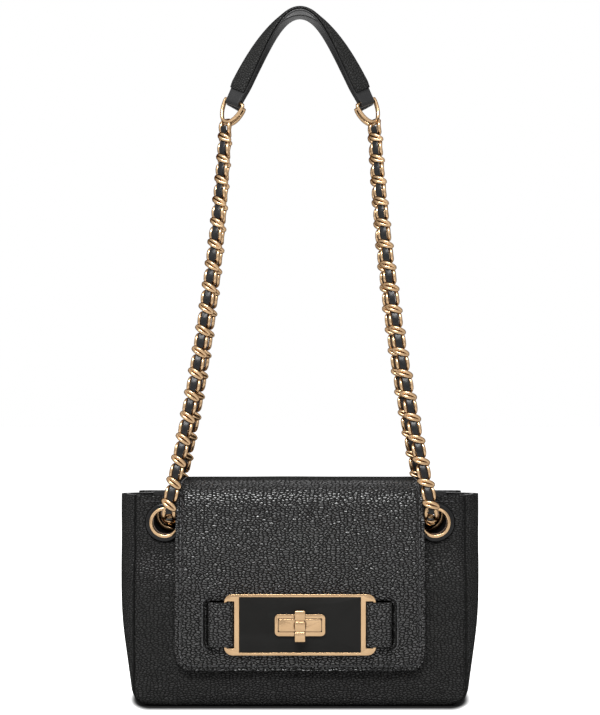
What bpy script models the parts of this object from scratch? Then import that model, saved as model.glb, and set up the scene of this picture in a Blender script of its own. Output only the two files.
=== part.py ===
"""A small crossbody bag with a turn-lock flap and a doubled chain strap.

Metres, +Z up. The front of the bag faces -Y, +X is to the right seen from the front, and the
origin is the middle of the underside. Each object is one piece of the bag. Pieces that move
together hang on one empty, which stands on the axis of their joint.
"""

import math

import bmesh
import bpy
from mathutils import Matrix, Vector

# Clearances and cuts
GAP = 0.0003  # between pieces that touch on the real bag
OVERRUN = 0.002  # how far a cutter runs past the faces it cuts

BODY_HEIGHT = 0.1345

# Grommets
GROMMET_X = 0.0868
GROMMET_DROP = 0.0175  # from the body's top to a grommet's middle
GROMMET_HEIGHT = BODY_HEIGHT - GROMMET_DROP
COLLAR_DIAMETER = 0.026
COLLAR_THICKNESS = 0.0016
EYELET_DIAMETER = 0.0198
EYELET_BORE = 0.015
EYELET_BARREL = 0.0164
EYELET_FLANGE = 0.0009
WASHER_DIAMETER = 0.022
WASHER_THICKNESS = 0.0009
ROUND_SIDES = 24

# Body
PANEL_WIDTH = 0.213  # front and back panels, seam to seam
SIDE_BULGE = 0.011  # how far each side swells past the seams
BASE_DEPTH = 0.072
TOP_DEPTH = 0.058
TAPER_STEPS = 4
BULGE_HEIGHT = 0.075  # height at which the sides reach their full bulge
BULGE_FOOT_SHARE = 0.06  # what is left of the bulge at the foot
PANEL_CORNER = 0.011  # radius of the panels' lower corners
SIDE_STEPS = 8  # faces across a side
CORNER_STEPS = 4
LOW_ROW_SHARES = (0.8, 0.55, 0.35)  # heights of a side's lower rows, of the taper's foot
LEATHER = 0.0024  # backed leather of the body
LINING = 0.0008
FACING = 0.0012
FACING_MARGIN = 0.0015  # under the washers
FACING_HEIGHT = GROMMET_DROP + WASHER_DIAMETER / 2 + FACING_MARGIN
BOARD = 0.0016
BOARD_MARGIN = 0.0012
POCKET_WIDTH = 0.110
POCKET_BOTTOM = 0.026
POCKET_HEIGHT = 0.045
POCKET_SHEET = 0.0009

# Flap
FLAP_WIDTH = 0.1592
FLAP_LEATHER = 0.0016
FLAP_LINING = 0.001
FLAP_RISE = 0.0091  # over the body's top
FLAP_TOP = BODY_HEIGHT + FLAP_RISE
FLAP_BOTTOM = 0.0236
FLAP_CORNER = 0.011
FLAP_ROLL_HEIGHT = 0.018  # height of the roll over the front edge
FLAP_ROLL_DEPTH = 0.016
FLAP_BACK_ROLL = 0.014
FLAP_LINING_INSET = 0.0008
FLAP_SEGMENTS = 5  # rows in each roll and corner
ANCHOR_HEIGHT = 0.031  # strip of the flap that is sewn down the back panel
ANCHOR_LEATHER = 0.002
ANCHOR_MARGIN = 0.0015  # from the strip to the rear collars

# Plate on the flap
PLATE_WIDTH = 0.0965
PLATE_HEIGHT = 0.0389
PLATE_THICKNESS = 0.0026
PLATE_CORNER = 0.0054
PLATE_RISE = 0.0298  # from the flap's foot to the plate's middle
PLATE_CENTRE = FLAP_BOTTOM + PLATE_RISE
ENAMEL_WIDTH = 0.0767
ENAMEL_HEIGHT = 0.0347
ENAMEL_DEPTH = 0.0012
PLATE_BAR = 0.0034  # upright bar beside the enamel
PLATE_WALL = 0.0018  # outer wall that each tab goes round
END_SLOT_HEIGHT = 0.0298
TAB_HEIGHT = 0.0286
TAB_LENGTH = 0.0165
TAB_LEATHER = 0.0014

# The body's depth shrinks from just over the plate to just under the collars
TAPER_FOOT_MARGIN = 0.00165
TAPER_TOP_MARGIN = 0.001
TAPER_BOTTOM = PLATE_CENTRE + PLATE_HEIGHT / 2 + TAPER_FOOT_MARGIN
TAPER_TOP = GROMMET_HEIGHT - COLLAR_DIAMETER / 2 - TAPER_TOP_MARGIN
TAPER_HEIGHT = TAPER_TOP - TAPER_BOTTOM

# Turn lock
SLOT_WIDTH = 0.0278
SLOT_HEIGHT = 0.0086
ESCUTCHEON_WIDTH = 0.0319
ESCUTCHEON_HEIGHT = 0.0138
ESCUTCHEON_THICKNESS = 0.0014
ESCUTCHEON_CORNER = 0.0025
CLASP_BACKING_MARGIN = 0.004
CLASP_BACKING_THICKNESS = 0.0006
LOCK_FOOT_WIDTH = 0.035
LOCK_FOOT_HEIGHT = 0.0155
LOCK_FOOT_THICKNESS = 0.0009
LOCK_PROUD = 0.0006  # the lock's block stands this far past the escutcheon
LOCK_BACKING_THICKNESS = 0.0008
PRONG_WIDTH = 0.003
PRONG_THICKNESS = 0.0012
PRONG_SPACING = 0.022
SPINDLE_DIAMETER = 0.004
SPINDLE_LENGTH = 0.0045
KNOB_HEIGHT = 0.0199
KNOB_WIDTH = 0.0068
KNOB_THICKNESS = 0.0042
KNOB_EDGE = 0.0009

# Strap: two pads side by side, each between two chains
STRAP_APEX = 0.4498  # height of the strap's middle layer at the top
STRAP_WIDTH = 0.0125
STRAP_END_WIDTH = 0.0105  # of the loops that hold the rings
STRAP_LEATHER = 0.0012
STRAP_OFFSET = 0.0080  # each pad's middle lies this far in front of or behind the bag's middle
ARCH_HALF_SPAN = 0.0440
ARCH_ROUNDNESS = 0.0825  # of a hyperbola: this over its steepness squared is the radius at its top
ARCH_STEEPNESS_SHARE = 2.6
END_TWIST = math.radians(60)
ARCH_STEPS = 14  # rows on each side of the top
PAD_END_SHARE = 0.84  # share of the arch's half span that the padded cover reaches
PAD_THICKNESS = 0.0023
PAD_EDGE_SHARE = 0.4  # thickness of the padded cover at its edges
PAD_CROWN_SHARE = 0.5  # width of the padded cover's flat middle
CURL_TURN = math.radians(270)  # how far the strap's ends go round the rings' bars
CURL_STEPS = 9

# Rings
RING_WIRE = 0.0024
RING_WIDTH = 0.0175
RING_HEIGHT = 0.0165
RING_STEPS = 10

# Chains and the lace woven through them
CHAIN_WIDTH = 0.0112
CHAIN_THICKNESS = 0.0038
CHAIN_WINDOW_SHARE = 0.5  # a window's share of the chain's width
CHAIN_WAIST_SHARE = 0.8  # the chain's width where two link pairs meet
CHAIN_CROSSING = 0.0034  # metal between one window and the next
CHAIN_PITCH = 0.0143  # two links
CHAIN_BOW = 0.0042  # how far each chain bows inwards
CHAIN_BEND = 0.009  # radius at which a chain turns into its grommet
CHAIN_TURN = math.radians(45)  # the strap's joint is halfway round that turn
CHAIN_CLEARANCE = 0.0008
LACE_THICKNESS = 0.001
INSIDE_SAG = 0.003
INSIDE_SHARES = (-0.75, -0.5, -0.25, 0, 0.25, 0.5, 0.75)  # places across the bag, of the bores' inner ends
RUN_STEPS = 12  # along a chain's straight run
BEND_STEPS = 3  # along each half of its turn into a grommet

# Colours: base colour, roughness, metallic
FINISHES = {
    "pebbled_leather": ((0.030, 0.030, 0.031), 0.45, 0.0),
    "smooth_leather": ((0.022, 0.022, 0.023), 0.40, 0.0),
    "lining_cloth": ((0.020, 0.019, 0.019), 0.85, 0.0),
    "board": ((0.080, 0.075, 0.070), 0.80, 0.0),
    "rose_gold": ((0.800, 0.560, 0.370), 0.22, 1.0),
    "black_enamel": ((0.012, 0.011, 0.011), 0.12, 0.0),
    "steel": ((0.560, 0.550, 0.530), 0.35, 1.0),
}

SIDES = {"left": -1, "right": 1}
FACES = {"front": -1, "rear": 1}


def clear_scene():
    for obj in list(bpy.data.objects):
        bpy.data.objects.remove(obj, do_unlink=True)


def make_material(name):
    colour, roughness, metallic = FINISHES[name]
    material = bpy.data.materials.new(name)
    material.use_nodes = True
    shader = material.node_tree.nodes["Principled BSDF"]
    shader.inputs["Base Color"].default_value = (*colour, 1.0)
    shader.inputs["Roughness"].default_value = roughness
    shader.inputs["Metallic"].default_value = metallic
    return material


def make_pivot(name, place, parent=None):
    """An empty on a joint's axis, which carries the pieces that move with it."""
    pivot = bpy.data.objects.new(name, None)
    pivot.empty_display_size = RING_WIDTH
    bpy.context.scene.collection.objects.link(pivot)
    pivot["place"] = tuple(place)
    pivot.parent = parent
    pivot.location = Vector(place) - (Vector(parent["place"]) if parent else Vector())
    return pivot


def put_on(obj, pivot):
    """Parents an object whose mesh is written in the bag's frame to an empty."""
    obj.parent = pivot
    obj.location = -Vector(pivot["place"])


def add_mesh(name, bm, finish, pivot, smooth=True):
    bmesh.ops.recalc_face_normals(bm, faces=bm.faces)
    mesh = bpy.data.meshes.new(name)
    bm.to_mesh(mesh)
    bm.free()
    mesh.materials.append(finish)
    if smooth:
        mesh.shade_smooth()
        mesh.set_sharp_from_angle(angle=math.radians(35))
    obj = bpy.data.objects.new(name, mesh)
    bpy.context.scene.collection.objects.link(obj)
    put_on(obj, pivot)
    return obj


def make_cutter(name, bm):
    bmesh.ops.recalc_face_normals(bm, faces=bm.faces)
    mesh = bpy.data.meshes.new(name)
    bm.to_mesh(mesh)
    bm.free()
    cutter = bpy.data.objects.new(name, mesh)
    cutter.hide_render = True
    cutter.display_type = "WIRE"
    bpy.context.scene.collection.objects.link(cutter)
    return cutter


def cut(obj, cutter):
    boolean = obj.modifiers.new("cut " + cutter.name, "BOOLEAN")
    boolean.operation = "DIFFERENCE"
    boolean.solver = "EXACT"
    boolean.object = cutter


def box_mesh(low, high):
    bm = bmesh.new()
    middle = (Vector(low) + Vector(high)) / 2
    size = Vector(high) - Vector(low)
    bmesh.ops.create_cube(bm, size=1, matrix=Matrix.Translation(middle) @ Matrix.Diagonal((*size, 1)))
    return bm


def outline_mesh(points, front, back):
    """A plate: an outline of (x, z) points extruded from y = front to y = back."""
    bm = bmesh.new()
    face = bm.faces.new([bm.verts.new((x, front, z)) for x, z in points])
    grown = bmesh.ops.extrude_face_region(bm, geom=[face])
    moved = [v for v in grown["geom"] if isinstance(v, bmesh.types.BMVert)]
    bmesh.ops.translate(bm, verts=moved, vec=(0, back - front, 0))
    return bm


def rounded_outline(width, height, radius, centre, steps=4):
    """The (x, z) points of a rectangle with round corners."""
    points = []
    for turn, (sx, sz) in enumerate(((1, 1), (-1, 1), (-1, -1), (1, -1))):
        for step in range(steps + 1):
            angle = math.pi / 2 * (turn + step / steps)
            points.append(
                (
                    centre[0] + sx * (width / 2 - radius) + radius * math.cos(angle),
                    centre[1] + sz * (height / 2 - radius) + radius * math.sin(angle),
                )
            )
    return points


def turned_mesh(profile, centre, facing):
    """A ring turned about the Y axis through centre; its profile holds (radius, distance out of the bag)."""
    bm = bmesh.new()
    loop = [bm.verts.new((centre[0] + radius, facing * out, centre[1])) for radius, out in profile]
    edges = [bm.edges.new((a, b)) for a, b in zip(loop, loop[1:] + loop[:1])]
    bmesh.ops.spin(
        bm,
        geom=loop + edges,
        cent=(centre[0], 0, centre[1]),
        axis=(0, 1, 0),
        angle=2 * math.pi,
        steps=ROUND_SIDES,
        use_merge=True,
    )
    return bm


def cylinder_mesh(radius, centre, y_low, y_high):
    bm = bmesh.new()
    middle = Matrix.Translation((centre[0], (y_low + y_high) / 2, centre[1]))
    place = middle @ Matrix.Rotation(math.pi / 2, 4, "X")
    bmesh.ops.create_cone(
        bm,
        cap_ends=True,
        segments=ROUND_SIDES,
        radius1=radius,
        radius2=radius,
        depth=y_high - y_low,
        matrix=place,
    )
    return bm


def loft_mesh(sections):
    """A closed solid through matching rings of points, capped at both ends."""
    return tube_mesh(sections, closed=False)


def smooth_step(value):
    value = min(max(value, 0), 1)
    return value * value * (3 - 2 * value)


def half_depth(height):
    """From the bag's middle to the outer face of a panel."""
    share = smooth_step((height - TAPER_BOTTOM) / TAPER_HEIGHT)
    return (BASE_DEPTH + (TOP_DEPTH - BASE_DEPTH) * share) / 2


def panel_half_width(height, inset=0):
    """Half the width of a panel's outline, or of the same outline set in by inset."""
    radius = PANEL_CORNER - inset
    rise = min(max(PANEL_CORNER - height, 0), radius)
    return PANEL_WIDTH / 2 - PANEL_CORNER + math.sqrt(max(radius * radius - rise * rise, 0))


def corner_angles(steps):
    return [math.pi / 2 * step / steps for step in range(steps + 1)]


def panel_heights():
    """Heights of the rows of a panel, from its top to its foot."""
    taper = [TAPER_TOP - TAPER_HEIGHT * step / TAPER_STEPS for step in range(TAPER_STEPS + 1)]
    corner = [PANEL_CORNER * (1 - math.sin(angle)) for angle in corner_angles(CORNER_STEPS)]
    return [BODY_HEIGHT, *taper, *corner]


def panel_mesh(facing):
    sections = []
    for height in panel_heights():
        half, face = panel_half_width(height), half_depth(height)
        ends = ((-half, face), (half, face), (half, face - LEATHER), (-half, face - LEATHER))
        sections.append([(x, facing * out, height) for x, out in ends])
    return loft_mesh(sections)


def bulge(height):
    """How far a side stands out past its seams at mid-depth."""
    share = BULGE_FOOT_SHARE + (1 - BULGE_FOOT_SHARE) * math.sin(math.pi / 2 * min(height / BULGE_HEIGHT, 1))
    rise = max(PANEL_CORNER - height, 0) / PANEL_CORNER
    return SIDE_BULGE * share * math.sqrt(max(1 - rise * rise, 0))


def side_arc(seam, reach, swell):
    """The (x, y) points of a bulging side from its front seam to its back seam."""
    points = []
    for step in range(SIDE_STEPS + 1):
        angle = math.pi * (step / SIDE_STEPS - 1 / 2)
        points.append((seam + swell * math.cos(angle), reach * math.sin(angle)))
    return points


def gusset_route():
    """(x outside, x inside, height outside, height inside) of the seam down a side and round its foot."""
    route = []
    between = [(BODY_HEIGHT + TAPER_TOP) / 2, *panel_heights()[1 : TAPER_STEPS + 2]]
    between += [TAPER_BOTTOM * share for share in LOW_ROW_SHARES]
    seam = PANEL_WIDTH / 2
    for height in [BODY_HEIGHT, *sorted(between, reverse=True)]:
        route.append((seam, seam - LEATHER, height, height))
    foot = seam - PANEL_CORNER
    for angle in corner_angles(CORNER_STEPS):
        across, down = math.cos(angle), math.sin(angle)
        inner = PANEL_CORNER - LEATHER
        heights = (PANEL_CORNER * (1 - down), PANEL_CORNER - inner * down)
        route.append((foot + PANEL_CORNER * across, foot + inner * across, *heights))
    return route


def gusset_mesh(side):
    sections = []
    for outer, inner, height, height_inside in gusset_route():
        reach = half_depth(height) - LEATHER - GAP
        outside = [(side * x, y, height) for x, y in side_arc(outer, reach, bulge(height))]
        inside = [
            (side * x, y, height_inside) for x, y in side_arc(inner, reach - LEATHER, bulge(height_inside))
        ]
        sections.append(outside + inside[::-1])
    return loft_mesh(sections)


def wall_loop(height, inset):
    """A closed line just inside the body's walls, set in by inset, seen from above."""
    within = LEATHER + GAP + inset
    seam = panel_half_width(height, within) if height < PANEL_CORNER else PANEL_WIDTH / 2 - within
    depth = half_depth(height) - within
    arc = side_arc(seam, depth - LEATHER - GAP, bulge(height))
    corner = seam - LEATHER - GAP
    right = [(corner, -depth), *arc, (corner, depth)]
    return [(x, y, height) for x, y in right] + [(-x, y, height) for x, y in reversed(right)]


LINING_FOOT = LEATHER + BOARD + GAP * 2
LINING_TOP = BODY_HEIGHT - FACING_HEIGHT - GAP


def lining_sections(inset, foot):
    heights = [LINING_TOP, *panel_heights()[1 : TAPER_STEPS + 2], (foot + PANEL_CORNER) / 2, foot]
    return [wall_loop(height, inset) for height in heights]


def lining_mesh():
    """An open cup: down its inside from its rim, and up its outside."""
    outside = lining_sections(0, LINING_FOOT)
    inside = lining_sections(LINING, LINING_FOOT + LINING)
    return tube_mesh(outside[::-1] + inside, closed=False)


def facing_mesh():
    low, high = LINING_TOP + GAP, BODY_HEIGHT
    levels = ((0, low), (0, high), (FACING, high), (FACING, low))
    rings = [[(x, y, height) for x, y, _ in wall_loop(BODY_HEIGHT, inset)] for inset, height in levels]
    return tube_mesh(rings, closed=True)


def tube_mesh(rings, closed):
    """A band of faces through matching rings, closed on itself or with its first and last ring filled."""
    bm = bmesh.new()
    loops = [[bm.verts.new(point) for point in ring] for ring in rings]
    for low, high in zip(loops, loops[1:] + (loops[:1] if closed else [])):
        for n, (a, b) in enumerate(zip(low, high)):
            after = (n + 1) % len(low)
            bm.faces.new((a, low[after], high[after], b))
    if not closed:
        bm.faces.new(loops[0])
        bm.faces.new(loops[-1])
    return bm


def make_body(materials, bag):
    leather, cloth = materials["pebbled_leather"], materials["lining_cloth"]
    made = {"front_panel": add_mesh("front_panel", panel_mesh(-1), leather, bag)}
    made["back_panel"] = add_mesh("back_panel", panel_mesh(1), leather, bag)
    for name, side in SIDES.items():
        add_mesh(name + "_gusset", gusset_mesh(side), leather, bag)
    foot = PANEL_WIDTH / 2 - PANEL_CORNER - GAP
    depth = BASE_DEPTH / 2 - LEATHER - GAP
    add_mesh("base_panel", box_mesh((-foot, -depth, 0), (foot, depth, LEATHER)), leather, bag, smooth=False)
    board = box_mesh(
        (-foot + BOARD_MARGIN, -depth + BOARD_MARGIN, LEATHER + GAP),
        (foot - BOARD_MARGIN, depth - BOARD_MARGIN, LEATHER + GAP + BOARD),
    )
    add_mesh("base_board", board, materials["board"], bag, smooth=False)
    add_mesh("lining", lining_mesh(), cloth, bag, smooth=False)
    made["top_facing"] = add_mesh("top_facing", facing_mesh(), materials["smooth_leather"], bag, smooth=False)
    wall = BASE_DEPTH / 2 - LEATHER - LINING - GAP * 2
    pocket = box_mesh(
        (-POCKET_WIDTH / 2, wall - POCKET_SHEET, POCKET_BOTTOM),
        (POCKET_WIDTH / 2, wall, POCKET_BOTTOM + POCKET_HEIGHT),
    )
    add_mesh("slip_pocket", pocket, cloth, bag, smooth=False)
    return made


# Distances outwards from the bag's middle of the layers that a grommet clamps
PANEL_FACE = TOP_DEPTH / 2
COLLAR_BACK = PANEL_FACE + GAP
COLLAR_FRONT = COLLAR_BACK + COLLAR_THICKNESS
EYELET_BACK = COLLAR_FRONT + GAP
EYELET_FRONT = EYELET_BACK + EYELET_FLANGE
FACING_BACK = PANEL_FACE - LEATHER - GAP - FACING
WASHER_FRONT = FACING_BACK - GAP
WASHER_BACK = WASHER_FRONT - WASHER_THICKNESS


def make_grommets(materials, bag, body):
    hole = EYELET_BARREL / 2 + GAP
    for side_name, side in SIDES.items():
        centre = (side * GROMMET_X, GROMMET_HEIGHT)
        reach = PANEL_FACE + OVERRUN
        cutter = make_cutter(side_name + "_grommet_holes", cylinder_mesh(hole, centre, -reach, reach))
        for piece in body.values():
            cut(piece, cutter)
        for face_name, facing in FACES.items():
            name = f"{face_name}_{side_name}"
            rim = COLLAR_DIAMETER / 2
            collar = [
                (hole, COLLAR_BACK),
                (hole, COLLAR_FRONT),
                ((hole + rim) / 2, COLLAR_FRONT),
                (rim, (COLLAR_BACK + COLLAR_FRONT) / 2),
                (rim, COLLAR_BACK),
            ]
            add_mesh(name + "_collar", turned_mesh(collar, centre, facing), materials["black_enamel"], bag)
            lip, barrel, bore = EYELET_DIAMETER / 2, EYELET_BARREL / 2, EYELET_BORE / 2
            eyelet = [
                (bore, WASHER_BACK),
                (bore, EYELET_BACK),
                ((bore + lip) / 2, EYELET_FRONT),
                (lip, (EYELET_BACK + EYELET_FRONT) / 2),
                (lip, EYELET_BACK),
                (barrel, EYELET_BACK),
                (barrel, WASHER_BACK),
            ]
            add_mesh(name + "_eyelet", turned_mesh(eyelet, centre, facing), materials["rose_gold"], bag)
            edge = WASHER_DIAMETER / 2
            washer = [(hole, WASHER_BACK), (hole, WASHER_FRONT), (edge, WASHER_FRONT), (edge, WASHER_BACK)]
            add_mesh(name + "_washer", turned_mesh(washer, centre, facing), materials["rose_gold"], bag)


# The flap's layers, as distances in front of the panel
FLAP_STAND_TOP = EYELET_FRONT + GAP - PANEL_FACE
FLAP_REST = LOCK_FOOT_THICKNESS + CLASP_BACKING_THICKNESS + GAP * 3  # holds the lock's foot
FLAP_BUILD = FLAP_LINING + GAP + FLAP_LEATHER
HINGE_Y = TOP_DEPTH / 2 + GAP + ANCHOR_LEATHER / 2
HINGE_Z = BODY_HEIGHT + FLAP_LEATHER / 2 + GAP
FOLD_Y = TOP_DEPTH / 2 + ANCHOR_LEATHER + GAP * 4 / 3  # the flap folds back over the strip's outer face


def flap_stand(height):
    """Room between the panel and the flap's lining."""
    share = smooth_step((height - TAPER_BOTTOM) / TAPER_HEIGHT)
    return FLAP_REST + (FLAP_STAND_TOP - FLAP_REST) * share


def flap_front(height):
    """The y of the flap's outer face below its roll."""
    return -(half_depth(height) + flap_stand(height) + FLAP_BUILD)


def flap_line(inset):
    """(y, height) points along the flap, from its hinge over the top and down, inset from its outer face."""
    top = FLAP_TOP - inset
    back = HINGE_Y + FLAP_LEATHER / 2 - inset
    front_foot = FLAP_TOP - FLAP_ROLL_HEIGHT
    front = flap_front(front_foot) + inset
    line = []
    for angle in corner_angles(FLAP_SEGMENTS):
        reach = FLAP_BACK_ROLL - inset
        line.append((back - reach * (1 - math.cos(angle)), HINGE_Z + (top - HINGE_Z) * math.sin(angle)))
    for angle in reversed(corner_angles(FLAP_SEGMENTS)):
        reach, rise = FLAP_ROLL_DEPTH - inset, top - front_foot
        line.append((front + reach * (1 - math.cos(angle)), front_foot + rise * math.sin(angle)))
    for step in range(TAPER_STEPS):
        height = TAPER_TOP - TAPER_HEIGHT * step / (TAPER_STEPS - 1)
        line.append((flap_front(height) + inset, height))
    for angle in corner_angles(FLAP_SEGMENTS):
        height = FLAP_BOTTOM + FLAP_CORNER * (1 - math.sin(angle))
        line.append((flap_front(height) + inset, height))
    return line


def flap_half_width(height, margin):
    """Half the flap's width, with its rounded lower corners, set in by margin."""
    radius = FLAP_CORNER
    rise = min(max(FLAP_BOTTOM + radius - height, 0), radius)
    return FLAP_WIDTH / 2 - radius + math.sqrt(max(radius * radius - rise * rise, 0)) - margin


def flap_layer_mesh(outer, inner, margin, first):
    """One layer of the flap between two depths under its outer face."""
    grids = []
    for inset in (outer, inner):
        grid = []
        for n, (y, height) in enumerate(flap_line(inset)[first:]):
            low_part = n + first > 2 * FLAP_SEGMENTS + 1
            half = flap_half_width(height if low_part else FLAP_TOP, margin)
            lift = margin if low_part and height < FLAP_BOTTOM + margin else 0
            grid.append([(half * share, y, height + lift) for share in (-1, 0, 1)])
        grids.append(grid)
    sections = [top + under[::-1] for top, under in zip(*grids)]
    return loft_mesh(sections)


def flap_mesh():
    """The outer leather, with a round edge at the hinge."""
    line_top, line_under = flap_line(0), flap_line(FLAP_LEATHER)
    half = FLAP_LEATHER / 2
    sections = []
    for angle in reversed(corner_angles(3)[1:]):
        down, out = half * math.sin(angle), half * max(math.cos(angle), GAP / half / 2)
        over = [(x, HINGE_Y + out, HINGE_Z - down) for x in flap_columns(0)]
        under = [(x, HINGE_Y - out, HINGE_Z - down) for x in flap_columns(0)]
        sections.append(over + under[::-1])
    for n, ((y, z), (y_under, z_under)) in enumerate(zip(line_top, line_under)):
        low_part = n > 2 * FLAP_SEGMENTS + 1
        columns = flap_columns(0, z if low_part else FLAP_TOP)
        over = [(x, y, z) for x in columns]
        under = [(x, y_under, z_under) for x in columns]
        sections.append(over + under[::-1])
    return loft_mesh(sections)


def flap_columns(margin, height=FLAP_TOP):
    half = flap_half_width(height, margin)
    return [half * share for share in (-1, 0, 1)]


# Distances outwards from the bag's middle of what lies on the flap at the plate
FLAP_FACE = -flap_front(PLATE_CENTRE)
PLATE_BACK = FLAP_FACE + GAP
PLATE_FRONT = PLATE_BACK + PLATE_THICKNESS
ENAMEL_FRONT = PLATE_FRONT - GAP
ENAMEL_BACK = ENAMEL_FRONT - ENAMEL_DEPTH
ESCUTCHEON_BACK = ENAMEL_FRONT + GAP
ESCUTCHEON_FRONT = ESCUTCHEON_BACK + ESCUTCHEON_THICKNESS
LOCK_BACK = BASE_DEPTH / 2 + GAP
LOCK_FRONT = ESCUTCHEON_FRONT + LOCK_PROUD
KNOB_BACK = LOCK_FRONT + GAP
KNOB_FRONT = KNOB_BACK + KNOB_THICKNESS
PLATE_MIDDLE = (0, PLATE_CENTRE)
END_SLOT_WIDTH = PLATE_WIDTH / 2 - PLATE_WALL - ENAMEL_WIDTH / 2 - PLATE_BAR
TAB_INNER = ENAMEL_WIDTH / 2 + PLATE_BAR + GAP  # the tab's inner edge, from the plate's middle
TAB_OUTER = TAB_INNER + TAB_LENGTH
TAB_FRONT = PLATE_FRONT + GAP + TAB_LEATHER
TAB_BACK = FLAP_FACE - FLAP_LEATHER


def make_slot_cutter(name, width, height, low, high):
    middle = PLATE_MIDDLE
    return make_cutter(
        name,
        box_mesh(
            (middle[0] - width / 2, -high, middle[1] - height / 2),
            (middle[0] + width / 2, -low, middle[1] + height / 2),
        ),
    )


def tab_mesh(side):
    """A leather tab: out of one slit, over the plate's end wall and back in through its end slot."""
    inner, outer, leg = TAB_INNER, TAB_OUTER, TAB_LEATHER
    shape = [
        (outer, TAB_BACK),
        (outer, TAB_FRONT - leg),
        (outer - leg, TAB_FRONT),
        (inner + leg, TAB_FRONT),
        (inner, TAB_FRONT - leg),
        (inner, TAB_BACK),
        (inner + leg, TAB_BACK),
        (inner + leg, TAB_FRONT - leg),
        (outer - leg, TAB_FRONT - leg),
        (outer - leg, TAB_BACK),
    ]
    bm = bmesh.new()
    low = PLATE_CENTRE - TAB_HEIGHT / 2
    face = bm.faces.new([bm.verts.new((side * x, -out, low)) for x, out in shape])
    grown = bmesh.ops.extrude_face_region(bm, geom=[face])
    moved = [v for v in grown["geom"] if isinstance(v, bmesh.types.BMVert)]
    bmesh.ops.translate(bm, verts=moved, vec=(0, 0, TAB_HEIGHT))
    return bm


def make_flap(materials, bag, flap_pivot):
    leather, gold = materials["pebbled_leather"], materials["rose_gold"]
    smooth = materials["smooth_leather"]
    flap = add_mesh("flap", flap_mesh(), leather, flap_pivot)
    under = FLAP_LEATHER + GAP
    lining = add_mesh(
        "flap_lining",
        flap_layer_mesh(under, under + FLAP_LINING, FLAP_LINING_INSET, 2),
        smooth,
        flap_pivot,
    )
    anchor_half = min(FLAP_WIDTH / 2, GROMMET_X - COLLAR_DIAMETER / 2 - ANCHOR_MARGIN)
    anchor = box_mesh(
        (-anchor_half, TOP_DEPTH / 2 + GAP, BODY_HEIGHT - ANCHOR_HEIGHT),
        (anchor_half, TOP_DEPTH / 2 + GAP + ANCHOR_LEATHER, HINGE_Z - FLAP_LEATHER / 2 - GAP),
    )
    add_mesh("flap_anchor", anchor, leather, bag, smooth=False)

    frame_outline = rounded_outline(PLATE_WIDTH, PLATE_HEIGHT, PLATE_CORNER, PLATE_MIDDLE)
    frame = add_mesh("plate_frame", outline_mesh(frame_outline, -PLATE_FRONT, -PLATE_BACK), gold, flap_pivot)
    recess = make_slot_cutter(
        "enamel_recess",
        ENAMEL_WIDTH + GAP * 2,
        ENAMEL_HEIGHT + GAP * 2,
        ENAMEL_BACK - GAP,
        PLATE_FRONT + OVERRUN,
    )
    cut(frame, recess)
    lock_slot = make_slot_cutter("lock_slot", SLOT_WIDTH, SLOT_HEIGHT, LOCK_BACK, LOCK_FRONT + OVERRUN)
    for side_name, side in SIDES.items():
        place = side * (PLATE_WIDTH / 2 - PLATE_WALL - END_SLOT_WIDTH / 2)
        low, high = PLATE_CENTRE - END_SLOT_HEIGHT / 2, PLATE_CENTRE + END_SLOT_HEIGHT / 2
        end_slot = make_cutter(
            side_name + "_end_slot",
            box_mesh(
                (place - END_SLOT_WIDTH / 2, -PLATE_FRONT - OVERRUN, low),
                (place + END_SLOT_WIDTH / 2, -PLATE_BACK + OVERRUN, high),
            ),
        )
        cut(frame, end_slot)
        for edge in (TAB_INNER, TAB_OUTER - TAB_LEATHER):
            ends = sorted(side * x for x in (edge - GAP, edge + TAB_LEATHER + GAP))
            slit = make_cutter(
                f"{side_name}_slit_{'inner' if edge == TAB_INNER else 'outer'}",
                box_mesh(
                    (ends[0], -FLAP_FACE - OVERRUN, PLATE_CENTRE - TAB_HEIGHT / 2 - GAP),
                    (ends[1], -FLAP_FACE + OVERRUN, PLATE_CENTRE + TAB_HEIGHT / 2 + GAP),
                ),
            )
            cut(flap, slit)
        add_mesh(side_name + "_tab", tab_mesh(side), smooth, flap_pivot, smooth=False)

    enamel = add_mesh(
        "enamel_panel",
        outline_mesh(
            rounded_outline(ENAMEL_WIDTH, ENAMEL_HEIGHT, GAP, PLATE_MIDDLE, 1), -ENAMEL_FRONT, -ENAMEL_BACK
        ),
        materials["black_enamel"],
        flap_pivot,
        smooth=False,
    )
    outline = rounded_outline(ESCUTCHEON_WIDTH, ESCUTCHEON_HEIGHT, ESCUTCHEON_CORNER, PLATE_MIDDLE)
    escutcheon = add_mesh(
        "escutcheon", outline_mesh(outline, -ESCUTCHEON_FRONT, -ESCUTCHEON_BACK), gold, flap_pivot
    )
    for piece in (flap, lining, frame, enamel, escutcheon):
        cut(piece, lock_slot)
    backing_front = FLAP_FACE - FLAP_LEATHER - GAP - FLAP_LINING - GAP
    backing = add_mesh(
        "clasp_backing",
        outline_mesh(
            rounded_outline(
                SLOT_WIDTH + CLASP_BACKING_MARGIN,
                SLOT_HEIGHT + CLASP_BACKING_MARGIN,
                GAP,
                PLATE_MIDDLE,
                1,
            ),
            -backing_front,
            -(backing_front - CLASP_BACKING_THICKNESS),
        ),
        materials["steel"],
        flap_pivot,
        smooth=False,
    )
    cut(backing, lock_slot)


def lock_foot_outline():
    return rounded_outline(LOCK_FOOT_WIDTH, LOCK_FOOT_HEIGHT, KNOB_EDGE, PLATE_MIDDLE, 2)


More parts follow.
